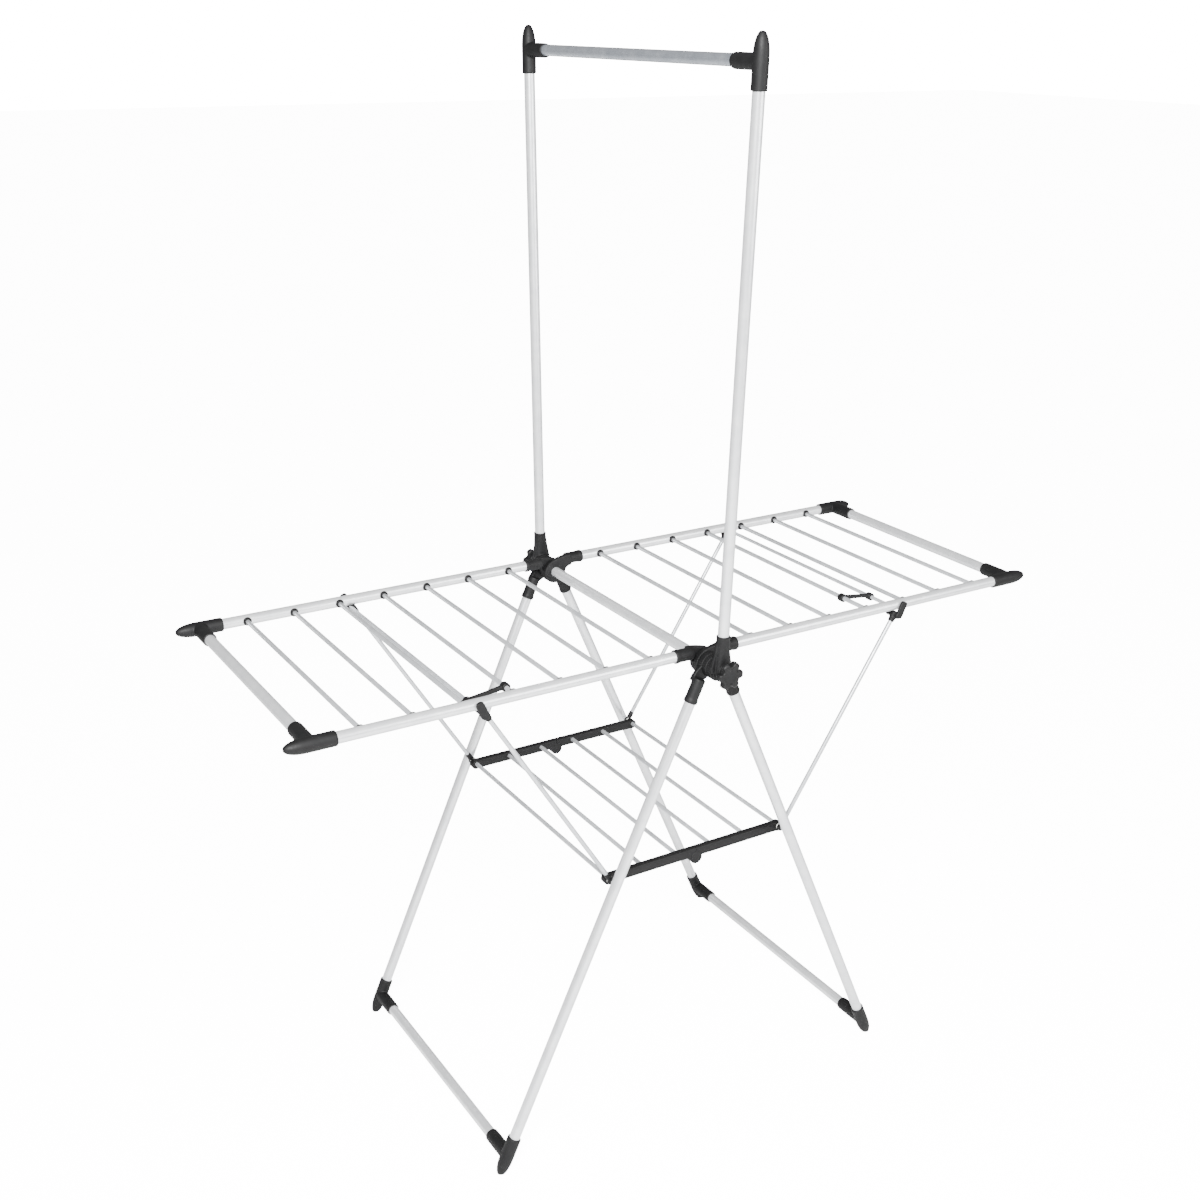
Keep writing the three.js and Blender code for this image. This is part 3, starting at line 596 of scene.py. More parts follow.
def socket(bm, start, mouth, radius):
    """A round socket that widens a little to a rolled mouth."""
    length = (mouth - start).length
    profile = [(0, 0), (radius - 1, 0), (radius - 0.4, 1.5), (radius - 0.4, length - 9),
               (radius + 0.3, length - 6), (radius + 0.5, length - 3), (radius + 0.3, length - 0.6),
               (radius - 0.3, length), (0, length)]
    turned(bm, profile, start, mouth - start, 40)


def plate(bm, path, low, high, power, count):
    """A rounded plate within a layer across Y that follows (x, z, half width) places."""
    low, high = sorted((low, high))
    middle = (low + high) / 2
    half = (high - low) / 2
    rings = []
    for k, (x, z, wide) in enumerate(path):
        before = path[max(k - 1, 0)]
        after = path[min(k + 1, len(path) - 1)]
        heading = Vector((after[0] - before[0], 0, after[1] - before[1])).normalized()
        up = Vector((-heading.z, 0, heading.x))
        rings.append(rounded_ring(Vector((x, middle, z)), Vector((0, 1, 0)), up, half, wide, power, count))
    loft(bm, rings)


print("socket radius", round(SOCKET_RADIUS, 2), "mm, tube hole radius", round(TUBE_HOLE, 2), "mm")

# %% [markdown]
# ## Wing and leg knuckles
#
# A knuckle is one moulding of a disc, an arm and a socket. A wing's arm rises like a gooseneck, because the
# rods lie above the pivot. A leg's arm drops to the leg, outside the wing's socket, so that the wing can fold
# past it. The eight could be mirrored copies of two shapes, but the tubes don't lie alike on both sides, so
# one function makes each from its own tube.

# %% One knuckle
BOLT_HOLE = 4.0
TOOTH_DEPTH = 0.9
ARM_SQUARENESS = 7
CUTTER_OVERRUN = 2
TUBE_END_GAP = 0.2


def knuckle(node, tube_node, disc_radius, teeth, path, socket_from, socket_to, arm_from=0.0):
    """A disc, an arm and a socket for one tube. The arm keeps arm_from away from the middle plane."""
    low, high = layer_of(node)
    start, end, _ = LINES[tube_node]
    forward = (end - start).normalized()
    bm = bmesh.new()
    toothed_disc(bm, low, high, HUB, disc_radius, teeth, TOOTH_DEPTH)
    arm_low, arm_high = (max(low, arm_from), high) if high > 0 else (low, min(high, -arm_from))
    places = [(HUB.x + x, HUB.z + z, wide) for x, z, wide in path]
    plate(bm, places, arm_low, arm_high, ARM_SQUARENESS, 48)
    socket(bm, start - forward * socket_from, start + forward * socket_to, SOCKET_RADIUS)
    bolt_from = Vector((HUB.x, low - CUTTER_OVERRUN, HUB.z))
    bolt_to = Vector((HUB.x, high + CUTTER_OVERRUN, HUB.z))
    tube_to = start + forward * (socket_to + CUTTER_OVERRUN)
    holes = [(bolt_from, bolt_to, BOLT_HOLE), (start - forward * TUBE_END_GAP, tube_to, TUBE_HOLE)]
    moulded(node + "_detail", bm, node, holes, voxel=0.7)


print("knuckle tool ready")


# %% All eight knuckles
WING_DISC = 22.8
WING_TEETH = 36
LEG_DISC = 20.8
LEG_TEETH = 32
LEG_ARM_GAP = 0.3
LEG_ARM_FROM = abs(LINES["right_wing_rail_far"][0].y) + SOCKET_RADIUS + LEG_ARM_GAP


def wing_arm(rail, way):
    """Places of a gooseneck that rises from the hub to the rail."""
    rise = LINES[rail][0].z - HUB.z
    return [(3 * way, 6, 19), (9 * way, rise * 0.5, 17.5), (17 * way, rise * 0.75, 14.4),
            (25 * way, rise * 0.93, 12), (35 * way, rise, 10.8)]


def leg_arm(leg, way):
    """Places of an arm that drops along the leg and moves out to its line."""
    start, foot, _ = LINES[leg]
    down = (foot - start).normalized()
    down = Vector((down.x, 0, down.z)).normalized()
    out = Vector((-down.z * way, 0, down.x * way))
    offset = (start - HUB).dot(out)
    drop = (start - HUB).dot(down)
    path = []
    for distance, share, wide in ((9, 0.3, 13), (15, 0.5, 13.4), (22, 0.75, 12.6), (29, 0.93, 11.2),
                                  (drop + 1, 1, 10.6)):
        spot = down * distance + out * offset * share
        path.append((spot.x, spot.z, wide))
    return path


for side, way in (("right", 1), ("left", -1)):
    for end in ("near", "far"):
        rail = f"{side}_wing_rail_{end}"
        leg = f"{side}_leg_{end}"
        knuckle(f"{side}_wing_knuckle_{end}", rail, WING_DISC, WING_TEETH, wing_arm(rail, way), 7, 28)
        knuckle(f"{side}_leg_knuckle_{end}", leg, LEG_DISC, LEG_TEETH, leg_arm(leg, way), 8, 35, LEG_ARM_FROM)
print("8 knuckles made")

# %% [markdown]
# ## Mast sockets
#
# The outermost disc of each hub carries the mast. Its tower starts boxy over the bolt and turns round towards
# a collar at the mouth, and a web behind it and a rib in front stiffen it. A turned tower couldn't change
# from boxy to round, so the tower, the web and the rib are lofts that are fused with the disc.

# %% Mast sockets
MAST_DISC_DEPTH = 12
BOSS_START = 15.5
MAST_BORE_DEPTH = 80


def mast_socket(end, sign):
    """A disc, the boss that the knob presses on, the tower, its web and its rib."""
    node = f"mast_socket_{end}"
    face = min(layer_of(node), key=abs)
    tube_start, tube_end, _ = LINES[f"mast_tube_{end}"]
    up = (tube_end - tube_start).normalized()
    base = tube_start - up * (tube_start.z - HUB.z) / up.z
    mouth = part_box(node)[1].z * MM_PER_METRE - HUB.z - 1
    outward = Vector((0, sign, 0))
    across = Vector((1, 0, 0))
    bm = bmesh.new()
    disc_low, disc_high = sorted((face, face + sign * MAST_DISC_DEPTH))
    toothed_disc(bm, disc_low, disc_high, HUB, LEG_DISC, LEG_TEETH, TOOTH_DEPTH)
    boss_start = Vector((HUB.x, face + sign * BOSS_START, HUB.z))
    turned(bm, [(0, 0), (13, 0), (13, 10), (12.4, 11.4), (0, 11.4)], boss_start, outward)
    tower = []
    for rise, half_x, half_y, power in ((-11, 12, 10.4, 3), (0, 13.5, 11.2, 3), (14, 12.8, 11.3, 2.6),
                                        (34, 12, 11.4, 2.2), (mouth - 4, 11.3, 11.3, 2),
                                        (mouth - 3.4, 11.7, 11.7, 2), (mouth - 0.6, 11.7, 11.7, 2),
                                        (mouth, 11.2, 11.2, 2)):
        tower.append(rounded_ring(base + up * rise, across, outward, half_x, half_y, power, 48))
    loft(bm, tower)
    web = []
    for rise, half_x in ((-2, 20), (8, 20.3), (20, 17.6), (38, 14), (54, 11.8)):
        centre = base + up * rise + outward * -1.5
        web.append(rounded_ring(centre, across, outward, half_x, 3.2, 6, 40))
    loft(bm, web)
    rib = []
    for rise, reach in ((12, 15.6), (26, 13.8), (46, 12.2)):
        centre = base + up * rise + outward * (reach - 5)
        rib.append(rounded_ring(centre, across, outward, 1.5, 5, 5, 24))
    loft(bm, rib)
    bolt_from = Vector((HUB.x, face - sign * 4, HUB.z))
    bolt_to = Vector((HUB.x, face + sign * 34, HUB.z))
    tube_to = tube_start + up * MAST_BORE_DEPTH
    holes = [(bolt_from, bolt_to, BOLT_HOLE), (tube_start - up * TUBE_END_GAP, tube_to, TUBE_HOLE)]
    moulded(node + "_detail", bm, node, holes, voxel=0.7)


for end, sign in (("near", -1), ("far", 1)):
    mast_socket(end, sign)
print("2 mast sockets made")

# %% [markdown]
# ## Star knobs
#
# A six-lobed knob clamps each hub and gives the hand a hold. It could be a cylinder with six bites cut out,
# but the real lobes run into each other smoothly. So each ring's outline is a wave, which the hyperbolic
# tangent flattens at the crowns, and the knob is a loft through such rings with a dished face. It turns by
# itself, with its bolt.

# %% Star knobs
KNOB_LOBES = 6
KNOB_POINTS = 144
LOBE_STEEPNESS = 2.3
LOBE_WIDENING = 0.5
GRIP = 13.0
NECK_LENGTH = 5
KNOB_BOLT_RADIUS = 3.6


def star(radius, y, scale, depth):
    """A six-lobed ring across Y, whose valleys are depth deep."""
    ring = []
    for i in range(KNOB_POINTS):
        angle = 2 * math.pi * i / KNOB_POINTS
        lobe = 0.5 + 0.5 * math.tanh(LOBE_STEEPNESS * math.cos(KNOB_LOBES * angle) + LOBE_WIDENING)
        r = (radius - depth * (1 - lobe)) * scale
        ring.append(Vector((HUB.x + r * math.cos(angle), y, HUB.z + r * math.sin(angle))))
    return ring


def star_knob(end, sign):
    """The grip and its neck as one piece, and the bolt as another."""
    node = f"knob_{end}"
    low_corner, high_corner = (c * MM_PER_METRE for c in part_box(node))
    radius = (high_corner.x - low_corner.x) / 2
    inner_tip, tip = sorted((low_corner.y, high_corner.y), key=abs)
    back = tip - sign * GRIP
    outline = ((0, 0.80, 6), (0.4, 0.92, 6.4), (1.8, 0.985, 6.6), (4, 1.0, 6.8), (GRIP - 4, 0.99, 6.8),
               (GRIP - 1.6, 0.95, 6.4), (GRIP - 0.4, 0.88, 5.8), (GRIP, 0.80, 5), (GRIP, 0.62, 2.5),
               (GRIP - 1.2, 0.54, 0.4), (GRIP - 1.4, 0.30, 0))
    bm = bmesh.new()
    loft(bm, [star(radius, back + sign * out, scale, depth) for out, scale, depth in outline])
    neck = back - sign * NECK_LENGTH
    neck_start = Vector((HUB.x, neck, HUB.z))
    turned(bm, [(0, 0), (12, 0), (12, 4), (14, 5.4), (0, 6)], neck_start, Vector((0, sign, 0)))
    fit(to_object(node + "_detail", bm), KNOB_PLASTIC, node, sharp=38)
    bm = bmesh.new()
    bar(bm, Vector((HUB.x, inner_tip, HUB.z)), Vector((HUB.x, neck + sign, HUB.z)), KNOB_BOLT_RADIUS)
    fit(to_object(node + "_bolt", bm), ROD, node, stands_for=False)


for end, sign in (("near", -1), ("far", 1)):
    star_knob(end, sign)
print("2 knobs made")

# %% [markdown]
# ## Corner caps and foot caps
#
# Each corner of a frame is a moulded cap: a bullet-nosed sleeve on the main tube, with a side sleeve for the
# cross tube. A sphere would make the nose too round, so the nose is a superellipse. A foot cap is the same
# moulding, whose underside is pressed flat where it stands on the floor.

# %% Outline of a cap
CAP_WALL = 2.7
CAP_RADIUS = TUBE_RADIUS + CAP_WALL
NOSE_START = 7
NOSE_STEPS = 12
NOSE_BLUNTNESS = 0.965
NOSE_FULLNESS = 2.1


def nose_profile(mouth, tip):
    """(radius, distance) of a sleeve from its mouth to the tip of its nose."""
    profile = [(0, mouth), (CAP_RADIUS - 0.5, mouth), (CAP_RADIUS, mouth + 1), (CAP_RADIUS, mouth + 8),
               (CAP_RADIUS + 0.1, 0), (CAP_RADIUS, NOSE_START)]
    for i in range(1, NOSE_STEPS + 1):
        share = i / NOSE_STEPS
        radius = CAP_RADIUS * math.sqrt(1 - (share * NOSE_BLUNTNESS) ** NOSE_FULLNESS)
        profile.append((radius, NOSE_START + (tip - NOSE_START) * share))
    return [*profile, (0, tip)]


print("cap radius", round(CAP_RADIUS, 2), "mm")


# %% Corner caps and foot caps
FOOT_TIP = 40.0


def corner_cap(node, main_tube, cross_tube, flat_foot=False):
    """A cap on the end of the main tube, with a side sleeve on the near end of the cross tube."""
    main_start, main_end, _ = LINES[main_tube]
    nose = (main_end - main_start).normalized()
    cross_near, cross_far = sorted(LINES[cross_tube][:2], key=lambda p: (p - main_end).length)
    side = (cross_far - cross_near).normalized()
    corner = main_end + nose * (cross_near - main_end).dot(nose)
    away = corners(node) - np.array(corner)
    along_nose = away @ np.array(nose)
    mouth = float(along_nose.min())
    tip = FOOT_TIP if flat_foot else float(along_nose.max())
    sleeve = float((away @ np.array(side)).max())
    bm = bmesh.new()
    turned(bm, nose_profile(mouth, tip), corner, nose, 56)
    turned(bm, [(0, 0), (CAP_RADIUS, 0), (CAP_RADIUS, sleeve - 10), (CAP_RADIUS - 0.2, sleeve - 1.2),
                (CAP_RADIUS - 0.9, sleeve), (0, sleeve)], corner, side, 56)
    made = to_object(node + "_detail", bm)
    fuse(made, 0.85, 7, 0.45)
    bore(made, [(main_end - nose * (-mouth + 4), main_end + nose * 0.4, TUBE_HOLE),
                (cross_near - side * 0.4, corner + side * (sleeve + CUTTER_OVERRUN), TUBE_HOLE)])
    for vertex in made.data.vertices:
        if flat_foot and vertex.co.z < 0:
            vertex.co.z = 0
    fit(made, PLASTIC, node, sharp=40)


for end in ("near", "far"):
    corner_cap(f"mast_corner_cap_{end}", f"mast_tube_{end}", "hanging_rail")
    for side in ("left", "right"):
        corner_cap(f"{side}_wing_corner_cap_{end}", f"{side}_wing_rail_{end}", f"{side}_wing_end_tube")
        corner_cap(f"{side}_foot_cap_{end}", f"{side}_leg_{end}", f"{side}_foot_rail", flat_foot=True)
print("10 caps made")

# %% [markdown]
# ## Shelf bars and rods
#
# Each shelf half has two dark moulded bars with rounded tops, and three rods between them. Where the halves
# meet, lapped round leaves hang a little below the bars and make the hinge. The leaves could be hinges of
# their own, but the real bar and leaf are one moulding, so the bar's loft and its discs are fused, and the
# lap for the other half's leaf is bored out of it.

# %% Discs across Y
def along_y(bm, centre, low, high, radius, edge=0.7, sides=40):
    """A disc or boss with softened rims across Y between two distances."""
    low, high = sorted((low, high))
    width = high - low
    profile = [(0, 0), (radius - edge, 0), (radius, edge), (radius, width - edge), (radius - edge, width),
               (0, width)]
    turned(bm, profile, Vector((centre.x, low, centre.z)), Vector((0, 1, 0)), sides)


print("disc tool ready")


# %% Shelf halves
SHELF_HINGE = joint_at["shelf_centre_fold"]
SHELF_LINE = joint_at["left_shelf_fold"].z
SHELF_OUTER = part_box("right_shelf_half")[1].y * MM_PER_METRE
SHELF_ROD_RADIUS = 4.0
BAR_THICKNESS = 13.5
BAR_DROP = 2.2
BAR_SQUARENESS = 4.5
LEAF_PROUD = 1.2
LEAVES_WIDTH = 15.0
HALF_GAP = 0.15
bar_outer = SHELF_OUTER - LEAF_PROUD
leaf_split = SHELF_OUTER - LEAVES_WIDTH / 2
LEAVES = {"left": (SHELF_OUTER - LEAVES_WIDTH, leaf_split - HALF_GAP),
          "right": (leaf_split + HALF_GAP, SHELF_OUTER)}


def shelf_bar(side, way, end, sign):
    """One bar with its round outer end and its leaf of the centre hinge."""
    node = f"{side}_shelf_half"
    low_corner, high_corner = (c * MM_PER_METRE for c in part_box(node))
    pivot = joint_at[f"{side}_stay_swing"]
    leaf_radius = SHELF_HINGE.z - low_corner.z
    bottom = 2 * (SHELF_LINE - BAR_DROP) - high_corner.z
    bar_z = (high_corner.z + bottom) / 2
    half_height = (high_corner.z - bottom) / 2
    middle = sign * (bar_outer - BAR_THICKNESS / 2)
    bm = bmesh.new()
    rings = []
    for share, height_share in ((0, 0.96), (0.004, 1), (0.5, 1), (1, 1)):
        x = way * HALF_GAP + (pivot.x - way * HALF_GAP) * share
        rings.append(rounded_ring(Vector((x, middle, bar_z)), Vector((0, 1, 0)), Vector((0, 0, 1)),
                                  BAR_THICKNESS / 2, half_height * height_share, BAR_SQUARENESS, 40))
    loft(bm, rings)
    end_centre = Vector((pivot.x, 0, bar_z))
    along_y(bm, end_centre, sign * (bar_outer - BAR_THICKNESS), sign * bar_outer, half_height)
    leaf_low, leaf_high = LEAVES[side]
    along_y(bm, SHELF_HINGE, sign * leaf_low, sign * leaf_high, leaf_radius - 0.1, 0.9, 56)
    other_low, other_high = LEAVES["right" if side == "left" else "left"]
    lap_from = Vector((0, sign * (other_low - 0.35), SHELF_HINGE.z))
    lap_to = Vector((0, sign * (other_high + 0.6), SHELF_HINGE.z))
    moulded(f"{side}_shelf_bar_{end}", bm, node, [(lap_from, lap_to, leaf_radius + 0.3)], voxel=0.7, relax=3,
            keep=0.4, material=BAR_PLASTIC, stands_for=(end == "near"))


def shelf_rods(side, way):
    """Three evenly spaced rods, of which the outermost lies on the shelf's pivot."""
    pivot = joint_at[f"{side}_stay_swing"]
    pitch = 2 * abs(pivot.x) / 5
    reach = bar_outer - 2
    for i in range(3):
        x = pivot.x - way * i * pitch
        bm = bmesh.new()
        bar(bm, Vector((x, -reach, SHELF_LINE)), Vector((x, reach, SHELF_LINE)), SHELF_ROD_RADIUS)
        fit(to_object(f"{side}_shelf_rod_{i + 1}", bm), ROD, f"{side}_shelf_half", stands_for=False)


for side, way in (("left", -1), ("right", 1)):
    shelf_bar(side, way, "near", -1)
    shelf_bar(side, way, "far", 1)
    shelf_rods(side, way)
print("4 shelf bars and 6 shelf rods made")

# %% [markdown]
# ## Stays
#
# A stay holds its wing level: two struts turn on the shelf's axles, a bracket on each hooks under a wing
# rail, and a cross wire joins the brackets. They could be one bent wire, but the bends would be inside the
# plastic, so straight bars show the same lines. A bracket is an outer cheek, an inner cheek and bosses, fused
# so that they read as one moulding.

# %% Stay wire, strut and bracket
STRUT_RADIUS = 4.0
STRUT_Y = 258.0
STRUT_IN_SLEEVE = 12
STRUT_IN_EYE = 10
SLEEVE_DROP = 16.8
WIRE_RADIUS = 3.5
WIRE_REACH = 422.0
WIRE_DROP = 10.0
RAIL_CLEARANCE = 0.3
CHEEK_SQUARENESS = 4.5


def stay_wire(side, wire, inside):
    """The cross wire under the rods, from bracket to bracket."""
    bm = bmesh.new()
    bar(bm, wire + Vector((0, 1 - inside, 0)), wire + Vector((0, inside - 1, 0)), WIRE_RADIUS)
    fit(to_object(f"{side}_stay_wire", bm), ROD, f"{side}_stay")


def strut(side, end, foot, sleeve_top, down):
    """The rod from the eye on the shelf's axle up into the bracket's sleeve."""
    bm = bmesh.new()
    bar(bm, foot - down * STRUT_IN_EYE, sleeve_top + down * STRUT_IN_SLEEVE, STRUT_RADIUS)
    fit(to_object(f"{side}_strut_{end}", bm), ROD, f"{side}_stay", stands_for=False)


def stay_bracket(side, way, end, sign, wire, head, sleeve_top, down, inside, outside):
    """The cheeks on both sides of the rail, the bosses that join them, and the strut's sleeve."""
    bridge = wire + Vector((-way * 8, 0, -7))
    toe = wire + Vector((-way * 4.6, 0, -4))
    outer_cheek = [(head.x + way * 2.6, head.z + 5.6, 3.2), (head.x + way * 2.2, head.z + 4.6, 5.2),
                   (head.x + way * 1.2, head.z + 2.6, 6.6), (head.x, head.z, 7.1), (toe.x, toe.z, 7.1),
                   (toe.x - way * 1.6, toe.z - 4, 6.6), (toe.x - way * 2.6, toe.z - 6.4, 5.2),
                   (toe.x - way * 3, toe.z - 7.4, 3.2)]
    inner_cheek = [(wire.x + way * 2.2, wire.z + 2.4, 3.2), (wire.x + way * 1.2, wire.z + 1.4, 4.4),
                   (wire.x, wire.z, 4.9), (bridge.x, bridge.z, 5.4), (bridge.x - way * 2.4, bridge.z - 2, 4)]
    bm = bmesh.new()
    plate(bm, outer_cheek, sign * outside, sign * (outside + 5.9), CHEEK_SQUARENESS, 36)
    plate(bm, inner_cheek, sign * inside, sign * (inside - 5.9), CHEEK_SQUARENESS, 36)
    along_y(bm, bridge, sign * (inside - 5.8), sign * (outside + 5.6), 5.8, 1.2)
    along_y(bm, bridge + Vector((0, 0, -0.6)), sign * (STRUT_Y - 6), sign * (outside + 1), 6.6, 1.2)
    turned(bm, [(0, 0), (5.6, 0.4), (6.4, 3), (6.4, 12), (5.7, 15), (5.5, 18.2), (5, 19.4), (0, 19.5)],
           sleeve_top, down, 40)
    moulded(f"{side}_stay_bracket_{end}", bm, f"{side}_stay", voxel=0.55, relax=4, keep=0.5, stands_for=False)


print("stay bracket tools ready")

# %% [markdown]
# ## Stay eyes, washers and pins
#
# The lower end of each strut sits in a moulded eye that turns on the shelf's axle, with a white nylon washer
# between the eye and the bar and a pin on into the leg. One long axle would be truer, but the eye turns and
# the shelf doesn't turn with it, so each has its own short pin.

# %% Stay eyes, washers and pins
WASHER_Y = 253.9
EYE_FROM_WASHER = 2
PIN_Y = 256
PIN_RADIUS = 3.0
PIN_SHORT_OF_LEG = 3.5


def stay_eye(side, end, sign, pivot, foot, down):
    """The eye on the shelf's axle, with the sleeve that grips the strut."""
    bm = bmesh.new()
    turned(bm, [(0, 0), (6.8, 0), (6.9, 0.8), (6.9, 4.6), (6.4, 5.6), (0, 5.8)],
           Vector((pivot.x, sign * (WASHER_Y + EYE_FROM_WASHER), pivot.z)), Vector((0, sign, 0)), 40)
    turned(bm, [(0, 0), (5.2, 0), (5.1, 14), (4.8, 19), (4.3, 20), (0, 20)], foot, -down, 32)
    moulded(f"{side}_stay_eye_{end}", bm, f"{side}_stay", voxel=0.6, relax=3, keep=0.5, stands_for=False)


def stay_washer(side, end, sign, pivot):
    """A thin nylon ring between the shelf bar and the eye."""
    bm = bmesh.new()
    turned(bm, [(3, 0), (6.2, 0), (6.4, 0.4), (6.4, 1.4), (6.2, 1.8), (3, 1.8)],
           Vector((pivot.x, sign * WASHER_Y, pivot.z)), Vector((0, sign, 0)), 40, closed=True)
    fit(to_object(f"{side}_stay_washer_{end}", bm), NYLON, f"{side}_stay", stands_for=False)


def stay_pin(side, end, sign, pivot):
    """The pin from the eye into the leg."""
    reach = abs(LINES[f"{side}_leg_{end}"][0].y) - PIN_SHORT_OF_LEG
    bm = bmesh.new()
    bar(bm, Vector((pivot.x, sign * PIN_Y, pivot.z)), Vector((pivot.x, sign * reach, pivot.z)), PIN_RADIUS)
    fit(to_object(f"{side}_stay_pin_{end}", bm), ROD, f"{side}_stay", stands_for=False)


print("stay eye tools ready")


# %% Both stays
for side, way in (("left", -1), ("right", 1)):
    pivot = joint_at[f"{side}_stay_swing"]
    rail_start, _, rail_radius = LINES[f"{side}_wing_rail_near"]
    rail_y = abs(rail_start.y)
    inside = rail_y - rail_radius - RAIL_CLEARANCE
    outside = rail_y + rail_radius + RAIL_CLEARANCE
    wire = Vector((way * WIRE_REACH, 0, rail_start.z - WIRE_DROP))
    head = wire + Vector((way * 2.5, 0, 12))
    level_pivot = Vector((pivot.x, 0, pivot.z))
    down = (level_pivot - head).normalized()
    stay_wire(side, wire, inside)
    for end, sign in (("near", -1), ("far", 1)):
        foot = Vector((pivot.x, sign * STRUT_Y, pivot.z))
        crown = foot - down * (head - level_pivot).length
        sleeve_top = crown + down * SLEEVE_DROP
        strut(side, end, foot, sleeve_top, down)
        stay_bracket(side, way, end, sign, wire, head, sleeve_top, down, inside, outside)
        stay_eye(side, end, sign, pivot, foot, down)
        stay_washer(side, end, sign, pivot)
        stay_pin(side, end, sign, pivot)
print("2 stays made")

# %% [markdown]
# ## Clip links
#
# A small plastic link hangs on one wing rod and clips onto the stay's cross wire, so that the stay can't
# slip. The jaw's opening could be cut, but little of it would show with the wire inside. So a link is two
# eyes and a strap that bulges a little, fused and then bored for the rod and the wire.

# %% Clip links
def clip_link(side, way):
    """Two eyes and the strap between them."""
    node = f"{side}_stay_link"
    low_corner, high_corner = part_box(node)
    low, high = low_corner.y * MM_PER_METRE, high_corner.y * MM_PER_METRE
    middle = (low + high) / 2
    turn = joint_at[f"{side}_link_turn"]
    eye = Vector((turn.x, middle, turn.z))
    jaw = Vector((way * WIRE_REACH, middle, LINES[f"{side}_wing_rail_near"][0].z - WIRE_DROP))
    along = (jaw - eye).normalized()
    length = (jaw - eye).length
    up = along.cross(Vector((0, way, 0)))
    bm = bmesh.new()
    along_y(bm, eye, low, high, 7.5, 1.0)
    along_y(bm, jaw, low, high, 7.0, 1.0)
    strap = []
    for share, half, tall in ((0.0, 3.6, 4.2), (0.15, 3.2, 4.0), (0.5, 2.8, 3.6), (0.85, 3.2, 3.4),
                              (1, 3.6, 3.2)):
        centre = eye + along * length * share + up * (0.5 + 2 * share)
        strap.append(rounded_ring(centre, Vector((0, 1, 0)), up, half, tall, 4, 36))
    loft(bm, strap)
    overrun = Vector((0, CUTTER_OVERRUN, 0))
    holes = []
    for centre, radius in ((eye, 4.2), (jaw, 3.7)):
        low_side = Vector((centre.x, low, centre.z))
        high_side = Vector((centre.x, high, centre.z))
        holes.append((low_side - overrun, high_side + overrun, radius))
    moulded(node + "_detail", bm, node, holes, voxel=0.55, relax=3, keep=0.6)


for side, way in (("left", -1), ("right", 1)):
    clip_link(side, way)
print("2 clip links made")

# %% [markdown]
# ## Floor
#
# The rack stands on a seamless white floor, as in a product studio. A white plane alone turns grey where the
# light falls off, and a brighter lamp would wash out the rack. So the floor glows for the camera only, and
# its glow adds no light to the rack.

# %% Pale floor
FLOOR_GLOW = 14.0
FLOOR_MOTTLE_MM = 900
FLOOR_HALF_WIDTH = 30000
FLOOR_DROP = 0.0004

material, tree = new_material("matt_white_floor")
place = add_node(tree, "ShaderNodeTexCoord").outputs["Object"]
mottle = add_node(tree, "ShaderNodeTexNoise", {"Vector": place, "Scale": MM_PER_METRE / FLOOR_MOTTLE_MM,
                                               "Detail": 2}).outputs[0]
tint = add_node(tree, "ShaderNodeMix", {0: mottle, 6: linear("#fbfbfb"), 7: linear("#f7f7f7")},
                data_type="RGBA").outputs[2]
camera_ray = add_node(tree, "ShaderNodeLightPath").outputs["Is Camera Ray"]
glow = add_node(tree, "ShaderNodeMath", {0: camera_ray, 1: FLOOR_GLOW}, operation="MULTIPLY").outputs[0]
shader = add_node(tree, "ShaderNodeBsdfPrincipled", {"Base Color": tint, "Roughness": 0.85,
                                                     "Emission Color": tint, "Emission Strength": glow})
add_node(tree, "ShaderNodeOutputMaterial", {"Surface": shader.outputs["BSDF"]})
bm = bmesh.new()
bmesh.ops.create_grid(bm, x_segments=2, y_segments=2, size=FLOOR_HALF_WIDTH)
floor = to_object("floor", bm)
floor.location.z = -FLOOR_DROP
floor.data.materials.append(material)
print("floor", 2 * FLOOR_HALF_WIDTH / MM_PER_METRE, "m across")

# %% [markdown]
# ## Surround and lamps
#
# The surround is white to the camera and dimmer to the rack, so that the background is clean while the tubes
# keep darker sides. A large soft key light from the left front shapes the tubes and a weak fill opens the
# shadows. Small lamps would put hard streaks on the lacquer.

# %% White surround
BACKDROP = 18.0
ROOM_LIGHT = 0.45

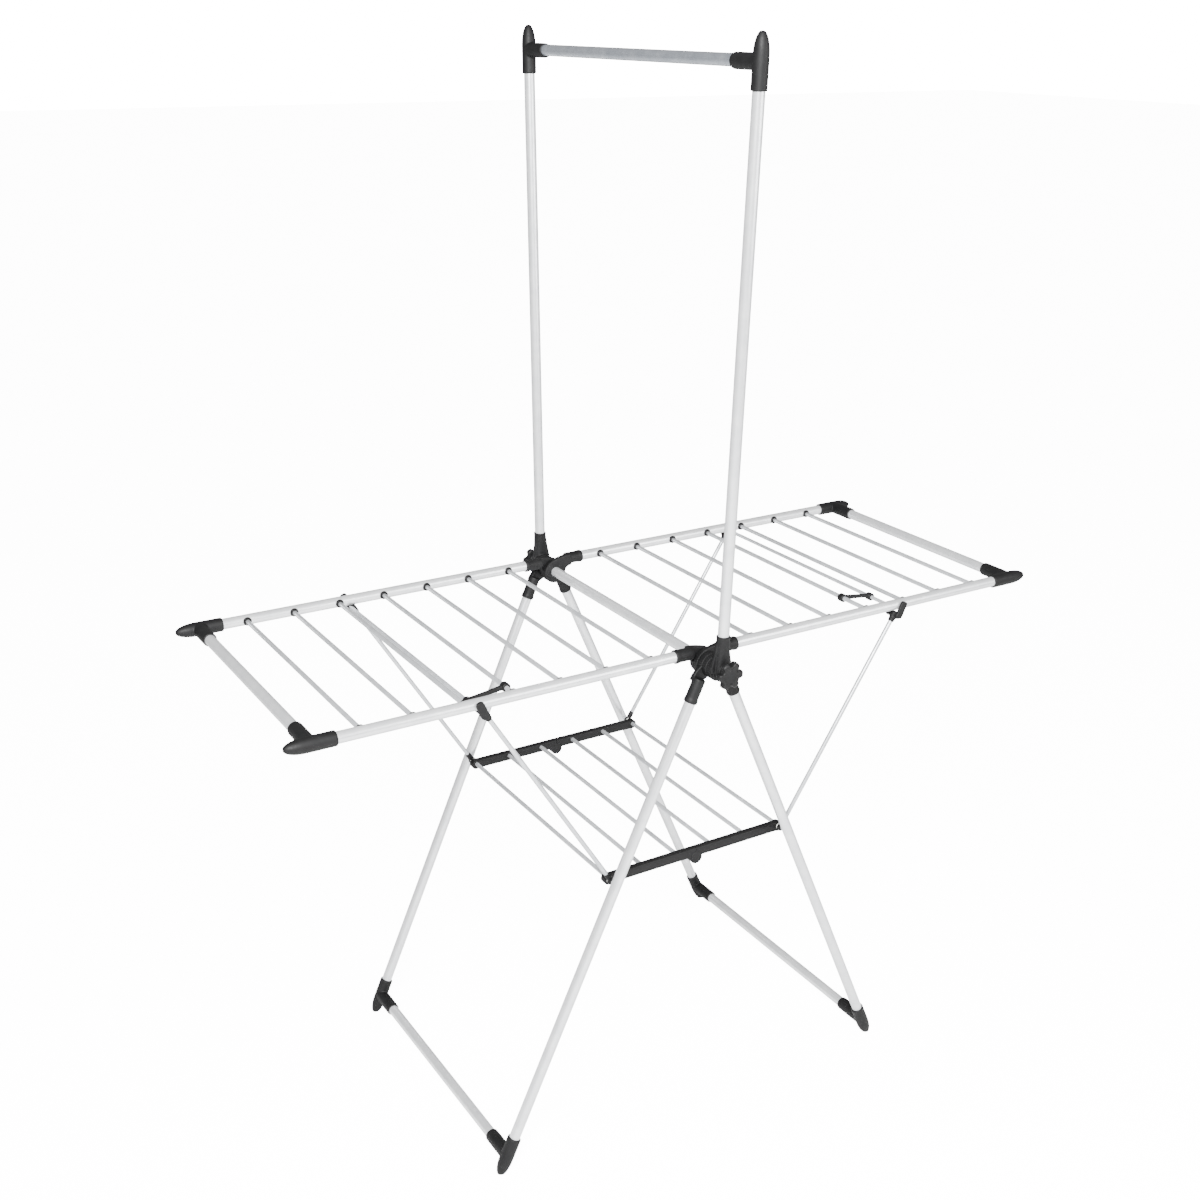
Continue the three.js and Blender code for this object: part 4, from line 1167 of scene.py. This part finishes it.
world = bpy.data.worlds.new("studio")
bpy.context.scene.world = world
world.use_nodes = True
tree = world.node_tree
camera_ray = add_node(tree, "ShaderNodeLightPath").outputs["Is Camera Ray"]
strength = add_node(tree, "ShaderNodeMapRange", {"Value": camera_ray, "To Min": ROOM_LIGHT,
                                                 "To Max": BACKDROP}).outputs["Result"]
tree.nodes["Background"].inputs["Color"].default_value = linear("#ffffff")
tree.links.new(strength, tree.nodes["Background"].inputs["Strength"])
print("surround", BACKDROP, "to the camera,", ROOM_LIGHT, "to the rack")


# %% Key and fill lights
def soft_light(name, spot, target, size, power):
    """A square lamp, size metres wide, that points at the target."""
    lamp = bpy.data.lights.new(name, "AREA")
    lamp.shape = "SQUARE"
    lamp.size = size
    lamp.energy = power
    made = bpy.data.objects.new(name, lamp)
    made.location = spot
    made.rotation_euler = (Vector(target) - Vector(spot)).to_track_quat("-Z", "Y").to_euler()
    bpy.context.scene.collection.objects.link(made)


soft_light("key", (-1.9, -2.6, 3.0), (0, 0, 0.9), 1.4, 520)
soft_light("fill", (1.6, -2.8, 1.9), (0, 0, 0.8), 1.8, 90)
print("2 lamps placed")

# %% [markdown]
# ## Camera
#
# The view is from the near left, about as high as the hanging rail. A camera can be aimed by a constraint,
# but this one also leans by half a degree. So its three directions are worked out from its yaw, pitch and
# roll and become the columns of its matrix.

# %% Camera
CAMERA_SPOT = Vector((-1.37408, -2.15424, 1.88014))
CAMERA_YAW = math.radians(31.6)
CAMERA_PITCH = math.radians(-21.06)
CAMERA_ROLL = 0.0102
SENSOR_WIDTH = 36
FOCAL_LENGTH = 45.81

look = Vector((math.sin(CAMERA_YAW) * math.cos(CAMERA_PITCH), math.cos(CAMERA_YAW) * math.cos(CAMERA_PITCH),
               math.sin(CAMERA_PITCH)))
level = Vector((math.cos(CAMERA_YAW), -math.sin(CAMERA_YAW), 0))
above = level.cross(look)
right = level * math.cos(CAMERA_ROLL) + above * math.sin(CAMERA_ROLL)
above = right.cross(look)
camera = bpy.data.objects.new("camera", bpy.data.cameras.new("camera"))
camera.data.sensor_width = SENSOR_WIDTH
camera.data.lens = FOCAL_LENGTH
camera.matrix_world = Matrix.Translation(CAMERA_SPOT) @ Matrix((right, above, -look)).transposed().to_4x4()
bpy.context.scene.collection.objects.link(camera)
bpy.context.scene.camera = camera
print("camera at", [round(c, 2) for c in CAMERA_SPOT])
